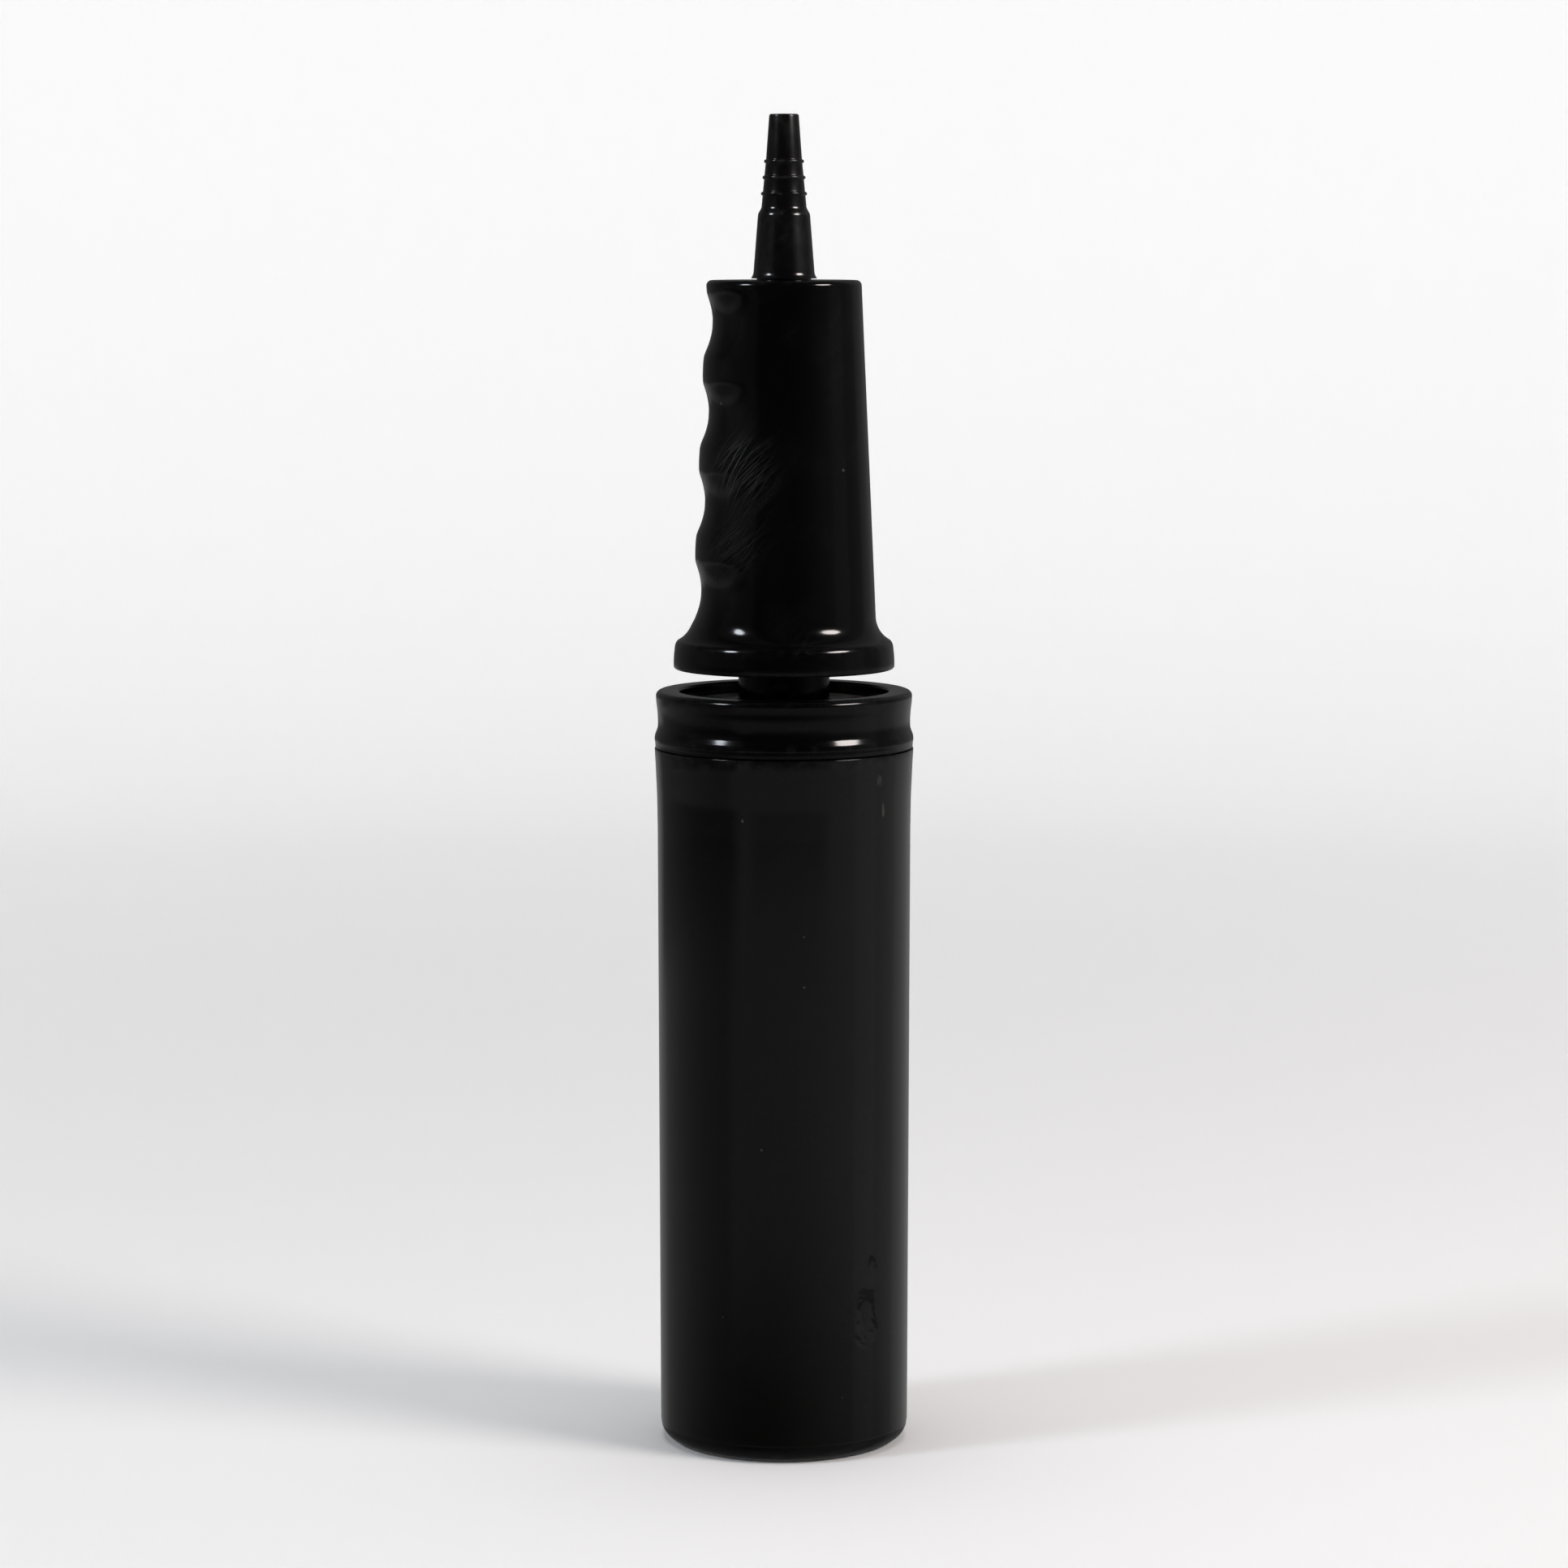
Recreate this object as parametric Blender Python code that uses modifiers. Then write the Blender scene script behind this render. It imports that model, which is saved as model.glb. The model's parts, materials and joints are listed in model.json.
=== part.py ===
"""A two-way hand pump for balls, standing on its barrel with the plunger pushed home.

The barrel, the collar at its mouth and the rod guide stay still. The handle, the hollow rod and
the piston slide up and down and turn freely. Air is drawn in through a disc valve in the foot and
a ring valve under the rod guide, and both strokes send it up the rod to the nozzle.
Every size below is in millimetres, and every piece is turned about the Z axis.
"""

import math

import bmesh
import bpy
from mathutils import Matrix, Vector

OBJECT_NAME = "ball_pump"
MM = 0.001
GAP = 0.3
AXIS_MERGE = 0.00001
OVERSHOOT = 1.0
SHARP_ANGLE = math.radians(35)

# Facets round the visible pieces, the inner pieces and the thin ones
WIDE_FACETS = 40
INNER_FACETS = 28
THIN_FACETS = 20
HOLE_FACETS = 10
SEAL_FACETS = 6
ROUND_STEPS = 3

# Barrel
BARREL_TOP = 135.0
BARREL_FOOT_RADIUS = 24.05
BARREL_FLARE_START = (24.37, 122.4)
BARREL_FLARE_MIDDLE = (24.54, 128.7)
BARREL_TOP_RADIUS = 24.9
FOOT_ROUND = 3.0
FOOT_RING_INNER = 17.5
FOOT_RECESS = 2.5
FLOOR_TOP = 5.0
BORE_RADIUS = 22.3
MOUTH_RADIUS = 23.0
MOUTH_BOTTOM = 123.0
INTAKE_HOLES = 4
INTAKE_HOLE_RADIUS = 1.3
INTAKE_PITCH = 4.5

# Foot valve
FOOT_DISC_RADIUS = 7.5
FOOT_DISC_THICK = 1.2
FOOT_CAGE_INNER = 9.0
FOOT_CAGE_OUTER = 10.5
FOOT_CAGE_TOP = 9.5
FOOT_CAGE_PLATE = 1.5
FOOT_CAGE_HOLES = 6
FOOT_CAGE_HOLE_RADIUS = 0.6
FOOT_CAGE_PITCH = 8.2

# Collar
COLLAR_BEAD_RADIUS = 25.0
COLLAR_BEAD_HEIGHT = 137.4
COLLAR_BEAD_ROUND = 1.7
COLLAR_BEAD_ANGLE = 60
COLLAR_BEAD_STEPS = 4
COLLAR_WAIST = (24.25, 141.2)
COLLAR_RIM_RADIUS = 24.65
COLLAR_RIM_TOP = 146.3
COLLAR_RIM_ROUND = 1.0
COLLAR_OPENING = 20.1
COLLAR_LEDGE = 141.5
COLLAR_INNER = 18.9
COLLAR_SEAL_GROOVE = (126.4, 129.0)
COLLAR_SEAL_GROOVE_RADIUS = 21.2
COLLAR_SEAL_SECTION = 0.6

# Rod guide
GUIDE_RADIUS = 19.8
GUIDE_TOP = 143.8
GUIDE_HOLE = 9.1
GUIDE_HUB_RADIUS = 12.2
GUIDE_HUB_BOTTOM = 128.7
GUIDE_SEAL_RADIUS = 11.0
GUIDE_SEAL_TOP = 134.0
GUIDE_HOLES = 6
GUIDE_HOLE_RADIUS = 1.5
GUIDE_PITCH = 15.5
ROD_SEAL_INNER = 9.05
ROD_SEAL_OUTER = 10.7
ROD_SEAL_BOTTOM = 130.2
ROD_SEAL_LIP = 0.8
RETAINER_INNER = 9.4
FLAP_OUTER = 18.3
FLAP_THICK = 1.0
FLAP_LIFT = 1.0
FLAP_RETAINER_OUTER = 16.0
FLAP_RETAINER_THICK = 1.5

# Piston and rod
PISTON_RADIUS = 21.6
PISTON_BOTTOM = 10.3
PISTON_TOP = 25.8
PISTON_EDGE = 0.8
PISTON_GROOVE = (15.0, 21.0)
PISTON_GROOVE_RADIUS = 18.6
PISTON_HOLE = 4.5
PISTON_SEAL_RADIUS = 22.0
PISTON_SEAL_WAIST = 21.4
ROD_RADIUS = 8.75
ROD_INNER = 7.3
ROD_BOTTOM = 16.3
ROD_TOP = 178.0
ROD_PORTS = 4
ROD_PORT_RADIUS = 1.4
ROD_PORT_HEIGHT = 28.5
AIR_TUBE_RADIUS = 4.2
AIR_TUBE_INNER = 3.0
AIR_TUBE_BOTTOM = 11.0

# Handle
FLANGE_RADIUS = 21.2
FLANGE_BOTTOM = 149.9
FLANGE_SHOULDER = (20.9, 155.1)
FLANGE_DRAFT_BOTTOM = 152.4
GRIP_FOOT = (17.6, 160.4)
COVE_ROUND = 5.4
COVE_ANGLE = 62
COVE_STEPS = 5
GRIP_TOP_RADIUS = 14.76
GRIP_TOP = 224.4
GRIP_EDGE = 1.0
GRIP_BORE = 11.6
GRIP_CEILING = 221.5
GRIP_BOSS_RADIUS = 9.0
GRIP_BOSS_BOTTOM = 214.0
NOZZLE_HOLE = 5.5
GRIP_RECESS_RADIUS = 18.8
GRIP_RECESS_TOP = 152.5
BASE_PLATE_TOP = 152.2
BASE_TUBE_RADIUS = 11.3
BASE_TUBE_TOP = 168.0

# Finger grooves, pressed into the grip on its -X side
FINGER_FIRST = 164.9
FINGER_PITCH = 17.07
FINGER_COUNT = 4
FINGER_WIDTH = 11.8
FINGER_DEPTH = 1.5
FINGER_ROWS = 6
FINGER_FULL_ANGLE = 38.0
FINGER_END_ANGLE = 72.0

# Valve block inside the handle
BLOCK_RADIUS = 11.2
BLOCK_SHOULDER = 178.3
BLOCK_TOP = 186.0
BLOCK_BORE = 4.5
BLOCK_BORE_TOP = 183.7
BLOCK_SEAT_RADIUS = 2.6
BLOCK_GROOVE = (181.0, 183.0)
BLOCK_GROOVE_RADIUS = 9.8
BLOCK_SEAL_SECTION = 0.6
BLOCK_HOLES = 6
BLOCK_HOLE_RADIUS = 1.1
BLOCK_PITCH = 6.6
PUSH_DISC_RADIUS = 3.6
PULL_RING = (5.4, 8.0)
VALVE_THICK = 1.0
VALVE_LIFT = 1.2
CAGE_INNER = 9.3
CAGE_OUTER = 11.0
CAGE_PLATE = 2.0
CAGE_HOLES = 6
CAGE_INNER_PITCH = 4.5
CAGE_INNER_HOLE = 0.8
CAGE_OUTER_PITCH = 8.6
CAGE_OUTER_HOLE = 0.55

# Nozzle
NOZZLE_TIP = 255.7
NOZZLE_TIP_RADIUS = 2.8
NOZZLE_TIP_EDGE = 0.25
NOZZLE_BORE = 1.6
NOZZLE_FLARE_RADIUS = 6.25
NOZZLE_FLARE_HEIGHT = 0.5
NOZZLE_BASE_RADIUS = 5.85
NOZZLE_SHOULDER = (4.95, 236.9)
NOZZLE_NECK = (4.3, 238.0)
NOZZLE_SLIM = (3.4, 247.4)
NOZZLE_RINGS = (240.7, 243.8, 246.8)
NOZZLE_RING_HALF = 0.35
NOZZLE_RING_CREST = 0.15
NOZZLE_RING_PROUD = 0.32
SPIGOT_RADIUS = 5.2
SPIGOT_GROOVE = (215.4, 217.2)
SPIGOT_GROOVE_RADIUS = 4.1
SPIGOT_SEAL_SECTION = 0.45


def clear_scene():
    """Remove every object of the scene."""
    for item in list(bpy.data.objects):
        bpy.data.objects.remove(item)


def make_collection(name):
    """Add a collection to the scene."""
    collection = bpy.data.collections.new(name)
    bpy.context.scene.collection.children.link(collection)
    return collection


clear_scene()
PARTS = make_collection(OBJECT_NAME)
CUTTERS = make_collection(OBJECT_NAME + "_cutters")


def make_material(name, grey, roughness):
    """A plain plastic or rubber of one grey level."""
    material = bpy.data.materials.new(name)
    material.use_nodes = True
    shader = material.node_tree.nodes["Principled BSDF"]
    shader.inputs["Base Color"].default_value = (grey, grey, grey, 1.0)
    shader.inputs["Roughness"].default_value = roughness
    shader.inputs["Metallic"].default_value = 0.0
    return material


def arc(centre, radius, start, end, steps=ROUND_STEPS):
    """Points of a round stretch, from one angle to another in degrees, 0 outwards and 90 upwards."""
    points = []
    for step in range(steps + 1):
        angle = math.radians(start + (end - start) * step / steps)
        points.append((centre[0] + radius * math.cos(angle), centre[1] + radius * math.sin(angle)))
    return points


def ring(inner, outer, bottom, top):
    """Outline of a plain ring."""
    return [(inner, top), (outer, top), (outer, bottom), (inner, bottom)]


def disc(radius, bottom, top):
    """Outline of a plain disc, from the axis round to the axis."""
    return [(0, top), (radius, top), (radius, bottom), (0, bottom)]


def cup(inner, outer, bottom, plate_bottom, top):
    """Outline of an upturned cup: a plate with a wall that hangs from it."""
    outside = [(0, top), (outer, top), (outer, bottom)]
    inside = [(inner, bottom), (inner, plate_bottom), (0, plate_bottom)]
    return outside + inside


def round_section(middle_radius, height, section):
    """Outline of a round-section seal."""
    return arc((middle_radius, height), section, 90, 90 - 360, SEAL_FACETS)[:-1]


def turn(name, outline, facets, material, solid=False):
    """Turn an outline of (radius, height) points about the Z axis; a solid one starts and ends on it."""
    points = [(radius * MM, 0.0, height * MM) for radius, height in outline]
    edges = [(index, index + 1) for index in range(len(points) - 1)]
    if not solid:
        edges.append((len(points) - 1, 0))
    mesh = bpy.data.meshes.new(name)
    mesh.from_pydata(points, edges, [])
    piece = bpy.data.objects.new(name, mesh)
    PARTS.objects.link(piece)
    screw = piece.modifiers.new("turn", "SCREW")
    screw.steps = facets
    screw.render_steps = facets
    screw.use_merge_vertices = True
    screw.merge_threshold = AXIS_MERGE
    piece.data.materials.append(material)
    return piece


def rod_matrix(start, end):
    """Placement of a rod, made standing on Z, between two points."""
    direction = end - start
    turned = direction.to_track_quat("Z", "Y").to_matrix().to_4x4()
    return Matrix.Translation((start + end) / 2) @ turned


def drill(piece, rods):
    """Cut round holes; each rod is (start, end, radius) in millimetres."""
    shape = bmesh.new()
    for start, end, radius in rods:
        low = Vector(start) * MM
        high = Vector(end) * MM
        bmesh.ops.create_cone(shape, cap_ends=True, segments=HOLE_FACETS, radius1=radius * MM,
                              radius2=radius * MM, depth=(high - low).length,
                              matrix=rod_matrix(low, high))
    mesh = bpy.data.meshes.new(piece.name + "_holes")
    shape.to_mesh(mesh)
    shape.free()
    cutter = bpy.data.objects.new(mesh.name, mesh)
    cutter.hide_render = True
    cutter.display_type = "WIRE"
    CUTTERS.objects.link(cutter)
    cut = piece.modifiers.new("holes", "BOOLEAN")
    cut.operation = "DIFFERENCE"
    cut.solver = "EXACT"
    cut.object = cutter


def upright_holes(count, pitch, radius, bottom, top):
    """Rods for a circle of holes that run up through a plate."""
    rods = []
    for index in range(count):
        angle = math.tau * (index + 0.5) / count
        x = pitch * math.cos(angle)
        y = pitch * math.sin(angle)
        rods.append(((x, y, bottom - OVERSHOOT), (x, y, top + OVERSHOOT), radius))
    return rods


def build_barrel(plastic):
    """Barrel with a rounded foot, a recessed underside and a wider mouth for the collar."""
    round_centre = (BARREL_FOOT_RADIUS - FOOT_ROUND, FOOT_ROUND)
    outline = [
        (MOUTH_RADIUS, BARREL_TOP),
        (BARREL_TOP_RADIUS, BARREL_TOP),
        BARREL_FLARE_MIDDLE,
        BARREL_FLARE_START,
        *arc(round_centre, FOOT_ROUND, 0, -90),
        (FOOT_RING_INNER, 0),
        (FOOT_RING_INNER, FOOT_RECESS),
        (0, FOOT_RECESS),
    ]
    inside = [
        (0, FLOOR_TOP),
        (BORE_RADIUS, FLOOR_TOP),
        (BORE_RADIUS, MOUTH_BOTTOM),
        (MOUTH_RADIUS, MOUTH_BOTTOM),
    ]
    barrel = turn("barrel", inside + outline, WIDE_FACETS, plastic, solid=True)
    drill(barrel, upright_holes(INTAKE_HOLES, INTAKE_PITCH, INTAKE_HOLE_RADIUS, FOOT_RECESS, FLOOR_TOP))


def build_foot_valve(rubber, plastic):
    """Disc over the intake holes, and the cage that stops it."""
    disc_bottom = FLOOR_TOP + GAP
    disc_top = disc_bottom + FOOT_DISC_THICK
    outline = disc(FOOT_DISC_RADIUS, disc_bottom, disc_top)
    turn("foot_valve_disc", outline, THIN_FACETS, rubber, solid=True)
    plate_bottom = FOOT_CAGE_TOP - FOOT_CAGE_PLATE
    outline = cup(FOOT_CAGE_INNER, FOOT_CAGE_OUTER, disc_bottom, plate_bottom, FOOT_CAGE_TOP)
    cage = turn("foot_valve_cage", outline, INNER_FACETS, plastic, solid=True)
    size = FOOT_CAGE_HOLE_RADIUS
    drill(cage, upright_holes(FOOT_CAGE_HOLES, FOOT_CAGE_PITCH, size, plate_bottom, FOOT_CAGE_TOP))


def build_collar(plastic, rubber):
    """Cap at the barrel's mouth, with a bead, a waist and a rim, and the seal on its skirt."""
    bead_centre = (COLLAR_BEAD_RADIUS - COLLAR_BEAD_ROUND, COLLAR_BEAD_HEIGHT)
    rim_centre = (COLLAR_RIM_RADIUS - COLLAR_RIM_ROUND, COLLAR_RIM_TOP - COLLAR_RIM_ROUND)
    skirt_radius = MOUTH_RADIUS - GAP
    skirt_bottom = MOUTH_BOTTOM + GAP
    groove_bottom, groove_top = COLLAR_SEAL_GROOVE
    outline = [
        (COLLAR_OPENING, COLLAR_RIM_TOP),
        *arc(rim_centre, COLLAR_RIM_ROUND, 90, 0),
        COLLAR_WAIST,
        *arc(bead_centre, COLLAR_BEAD_ROUND, COLLAR_BEAD_ANGLE, -COLLAR_BEAD_ANGLE, COLLAR_BEAD_STEPS),
        (skirt_radius, BARREL_TOP + GAP),
        (skirt_radius, groove_top),
        (COLLAR_SEAL_GROOVE_RADIUS, groove_top),
        (COLLAR_SEAL_GROOVE_RADIUS, groove_bottom),
        (skirt_radius, groove_bottom),
        (skirt_radius, skirt_bottom),
        (COLLAR_INNER, skirt_bottom),
        (COLLAR_INNER, COLLAR_LEDGE),
        (COLLAR_OPENING, COLLAR_LEDGE),
    ]
    turn("collar_cap", outline, WIDE_FACETS, plastic)
    seal_radius = COLLAR_SEAL_GROOVE_RADIUS + GAP + COLLAR_SEAL_SECTION
    seal_height = (groove_bottom + groove_top) / 2
    turn("collar_seal", round_section(seal_radius, seal_height, COLLAR_SEAL_SECTION), WIDE_FACETS, rubber)


def build_rod_guide(plastic, rubber):
    """Guide plate inside the collar, with the rod's seal and the ring valve that lets air in."""
    plate_bottom = COLLAR_LEDGE + GAP
    outline = [
        (GUIDE_HOLE, GUIDE_TOP),
        (GUIDE_RADIUS, GUIDE_TOP),
        (GUIDE_RADIUS, plate_bottom),
        (GUIDE_HUB_RADIUS, plate_bottom),
        (GUIDE_HUB_RADIUS, GUIDE_HUB_BOTTOM),
        (GUIDE_SEAL_RADIUS, GUIDE_HUB_BOTTOM),
        (GUIDE_SEAL_RADIUS, GUIDE_SEAL_TOP),
        (GUIDE_HOLE, GUIDE_SEAL_TOP),
    ]
    guide = turn("rod_guide", outline, INNER_FACETS, plastic)
    drill(guide, upright_holes(GUIDE_HOLES, GUIDE_PITCH, GUIDE_HOLE_RADIUS, plate_bottom, GUIDE_TOP))
    seal_top = GUIDE_SEAL_TOP - GAP
    outline = [
        (ROD_SEAL_INNER + ROD_SEAL_LIP, seal_top),
        (ROD_SEAL_OUTER, seal_top),
        (ROD_SEAL_OUTER, ROD_SEAL_BOTTOM),
        (ROD_SEAL_INNER, ROD_SEAL_BOTTOM),
        (ROD_SEAL_INNER, seal_top - ROD_SEAL_LIP),
    ]
    turn("rod_seal", outline, INNER_FACETS, rubber)
    outline = ring(RETAINER_INNER, ROD_SEAL_OUTER, GUIDE_HUB_BOTTOM, ROD_SEAL_BOTTOM - GAP)
    turn("rod_seal_retainer", outline, INNER_FACETS, plastic)
    flap_top = plate_bottom - GAP - FLAP_LIFT
    flap_bottom = flap_top - FLAP_THICK
    flap_inner = GUIDE_HUB_RADIUS + GAP
    turn("intake_flap", ring(flap_inner, FLAP_OUTER, flap_bottom, flap_top), INNER_FACETS, rubber)
    retainer_top = flap_bottom - GAP
    outline = ring(flap_inner, FLAP_RETAINER_OUTER, retainer_top - FLAP_RETAINER_THICK, retainer_top)
    turn("flap_retainer", outline, INNER_FACETS, plastic)


def build_piston(plastic, rubber):
    """Piston with a socket for the rod, and the seal that slides in the bore."""
    groove_bottom, groove_top = PISTON_GROOVE
    socket_radius = ROD_RADIUS + GAP
    socket_bottom = ROD_BOTTOM - GAP
    outline = [
        (socket_radius, PISTON_TOP),
        (PISTON_RADIUS - PISTON_EDGE, PISTON_TOP),
        (PISTON_RADIUS, PISTON_TOP - PISTON_EDGE),
        (PISTON_RADIUS, groove_top),
        (PISTON_GROOVE_RADIUS, groove_top),
        (PISTON_GROOVE_RADIUS, groove_bottom),
        (PISTON_RADIUS, groove_bottom),
        (PISTON_RADIUS, PISTON_BOTTOM + PISTON_EDGE),
        (PISTON_RADIUS - PISTON_EDGE, PISTON_BOTTOM),
        (PISTON_HOLE, PISTON_BOTTOM),
        (PISTON_HOLE, socket_bottom),
        (socket_radius, socket_bottom),
    ]
    turn("piston", outline, INNER_FACETS, plastic)
    seal_inner = PISTON_GROOVE_RADIUS + GAP
    seal_bottom = groove_bottom + GAP
    seal_top = groove_top - GAP
    outline = [
        (seal_inner, seal_top),
        (PISTON_SEAL_RADIUS, seal_top),
        (PISTON_SEAL_WAIST, (seal_bottom + seal_top) / 2),
        (PISTON_SEAL_RADIUS, seal_bottom),
        (seal_inner, seal_bottom),
    ]
    turn("piston_seal", outline, WIDE_FACETS, rubber)


def build_rod(plastic):
    """Hollow rod with ports above the piston, and the air tube inside it."""
    rod = turn("rod_tube", ring(ROD_INNER, ROD_RADIUS, ROD_BOTTOM, ROD_TOP), INNER_FACETS, plastic)
    reach_in = (ROD_INNER + AIR_TUBE_RADIUS) / 2
    reach_out = ROD_RADIUS + OVERSHOOT
    ports = []
    for index in range(ROD_PORTS):
        angle = math.tau * (index + 0.5) / ROD_PORTS
        side = Vector((math.cos(angle), math.sin(angle), 0))
        height = Vector((0, 0, ROD_PORT_HEIGHT))
        ports.append((side * reach_in + height, side * reach_out + height, ROD_PORT_RADIUS))
    drill(rod, ports)
    tube_top = BLOCK_BORE_TOP - GAP
    outline = ring(AIR_TUBE_INNER, AIR_TUBE_RADIUS, AIR_TUBE_BOTTOM, tube_top)
    turn("air_tube", outline, THIN_FACETS, plastic)


def cone_radius(height):
    """Radius of the grip's plain cone at a height."""
    share = (height - GRIP_FOOT[1]) / (GRIP_TOP - GRIP_FOOT[1])
    return GRIP_FOOT[0] + (GRIP_TOP_RADIUS - GRIP_FOOT[0]) * share


def groove_depth(height, angle):
    """Depth of the finger grooves at a height and an angle in degrees from the -X side."""
    nearest = round((height - FINGER_FIRST) / FINGER_PITCH)
    nearest = min(max(nearest, 0), FINGER_COUNT - 1)
    offset = abs(height - FINGER_FIRST - nearest * FINGER_PITCH) / (FINGER_WIDTH / 2)
    along = max(0.0, 1 - offset * offset)
    fade = (FINGER_END_ANGLE - angle) / (FINGER_END_ANGLE - FINGER_FULL_ANGLE)
    fade = min(max(fade, 0.0), 1.0)
    return FINGER_DEPTH * along * fade * fade * (3 - 2 * fade)


def settle(piece):
    """Turn a piece's modifiers into mesh, with its round faces smooth and its corners sharp."""
    ready = piece.evaluated_get(bpy.context.evaluated_depsgraph_get())
    mesh = bpy.data.meshes.new_from_object(ready)
    piece.modifiers.clear()
    piece.data = mesh
    mesh.shade_smooth()
    mesh.set_sharp_from_angle(angle=SHARP_ANGLE)


def press_grooves(grip):
    """Press the finger grooves into the turned grip."""
    settle(grip)
    for vertex in grip.data.vertices:
        place = vertex.co
        height = place.z / MM
        radius = math.hypot(place.x, place.y) / MM
        if radius < GRIP_BORE + OVERSHOOT or height < FINGER_FIRST - FINGER_WIDTH / 2:
            continue
        angle = abs(math.degrees(math.atan2(place.y, -place.x)))
        share = 1 - groove_depth(height, angle) / radius
        place.x *= share
        place.y *= share


def build_handle(plastic, inner_plastic):
    """Grip shell with its flange, and the plate and sleeve that close it round the rod."""
    cove_centre = (GRIP_FOOT[0] + COVE_ROUND, GRIP_FOOT[1])
    edge_centre = (GRIP_TOP_RADIUS - GRIP_EDGE, GRIP_TOP - GRIP_EDGE)
    rows = []
    for finger in reversed(range(FINGER_COUNT)):
        middle = FINGER_FIRST + finger * FINGER_PITCH
        for row in range(FINGER_ROWS + 1):
            height = middle + FINGER_WIDTH * (0.5 - row / FINGER_ROWS)
            if height > GRIP_FOOT[1]:
                rows.append((cone_radius(height), height))
    outline = [
        (NOZZLE_HOLE, GRIP_TOP),
        *arc(edge_centre, GRIP_EDGE, 90, 0),
        *rows,
        *arc(cove_centre, COVE_ROUND, 180, 180 + COVE_ANGLE, COVE_STEPS),
        FLANGE_SHOULDER,
        (FLANGE_RADIUS, FLANGE_DRAFT_BOTTOM),
        (FLANGE_RADIUS, FLANGE_BOTTOM),
        (GRIP_RECESS_RADIUS, FLANGE_BOTTOM),
        (GRIP_RECESS_RADIUS, GRIP_RECESS_TOP),
        (GRIP_BORE, GRIP_RECESS_TOP),
        (GRIP_BORE, GRIP_CEILING),
        (GRIP_BOSS_RADIUS, GRIP_CEILING),
        (GRIP_BOSS_RADIUS, GRIP_BOSS_BOTTOM),
        (NOZZLE_HOLE, GRIP_BOSS_BOTTOM),
    ]
    press_grooves(turn("handle_grip", outline, WIDE_FACETS, plastic))
    sleeve_inner = ROD_RADIUS + GAP
    plate_radius = GRIP_RECESS_RADIUS - GAP
    plate_bottom = FLANGE_BOTTOM + GAP
    outline = [
        (sleeve_inner, BASE_TUBE_TOP),
        (BASE_TUBE_RADIUS, BASE_TUBE_TOP),
        (BASE_TUBE_RADIUS, BASE_PLATE_TOP),
        (plate_radius, BASE_PLATE_TOP),
        (plate_radius, plate_bottom),
        (sleeve_inner, plate_bottom),
    ]
    turn("handle_base", outline, INNER_FACETS, inner_plastic)


def build_valve_block(plastic, rubber):
    """Block on the rod's top end with the push and pull valves, their cage and the block's seal."""
    groove_bottom, groove_top = BLOCK_GROOVE
    skirt_inner = ROD_RADIUS + GAP
    outline = [
        (BLOCK_SEAT_RADIUS, BLOCK_TOP),
        (BLOCK_RADIUS, BLOCK_TOP),
        (BLOCK_RADIUS, groove_top),
        (BLOCK_GROOVE_RADIUS, groove_top),
        (BLOCK_GROOVE_RADIUS, groove_bottom),
        (BLOCK_RADIUS, groove_bottom),
        (BLOCK_RADIUS, BASE_TUBE_TOP + GAP),
        (skirt_inner, BASE_TUBE_TOP + GAP),
        (skirt_inner, BLOCK_SHOULDER),
        (BLOCK_BORE, BLOCK_SHOULDER),
        (BLOCK_BORE, BLOCK_BORE_TOP),
        (BLOCK_SEAT_RADIUS, BLOCK_BORE_TOP),
    ]
    block = turn("valve_block", outline, INNER_FACETS, plastic)
    drill(block, upright_holes(BLOCK_HOLES, BLOCK_PITCH, BLOCK_HOLE_RADIUS, BLOCK_SHOULDER, BLOCK_TOP))
    seal_radius = BLOCK_GROOVE_RADIUS + GAP + BLOCK_SEAL_SECTION
    seal_height = (groove_bottom + groove_top) / 2
    outline = round_section(seal_radius, seal_height, BLOCK_SEAL_SECTION)
    turn("valve_block_seal", outline, INNER_FACETS, rubber)
    valve_bottom = BLOCK_TOP + GAP
    valve_top = valve_bottom + VALVE_THICK
    turn("push_valve_disc", disc(PUSH_DISC_RADIUS, valve_bottom, valve_top), THIN_FACETS, rubber, solid=True)
    turn("pull_valve_ring", ring(*PULL_RING, valve_bottom, valve_top), THIN_FACETS, rubber)
    plate_bottom = valve_top + VALVE_LIFT + GAP
    plate_top = plate_bottom + CAGE_PLATE
    outline = cup(CAGE_INNER, CAGE_OUTER, valve_bottom, plate_bottom, plate_top)
    cage = turn("valve_cage", outline, INNER_FACETS, plastic, solid=True)
    holes = upright_holes(CAGE_HOLES, CAGE_INNER_PITCH, CAGE_INNER_HOLE, plate_bottom, plate_top)
    holes += upright_holes(CAGE_HOLES, CAGE_OUTER_PITCH, CAGE_OUTER_HOLE, plate_bottom, plate_top)
    drill(cage, holes)


def neck_radius(height):
    """Radius of the nozzle's plain neck at a height."""
    share = (height - NOZZLE_NECK[1]) / (NOZZLE_SLIM[1] - NOZZLE_NECK[1])
    return NOZZLE_NECK[0] + (NOZZLE_SLIM[0] - NOZZLE_NECK[0]) * share


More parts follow.
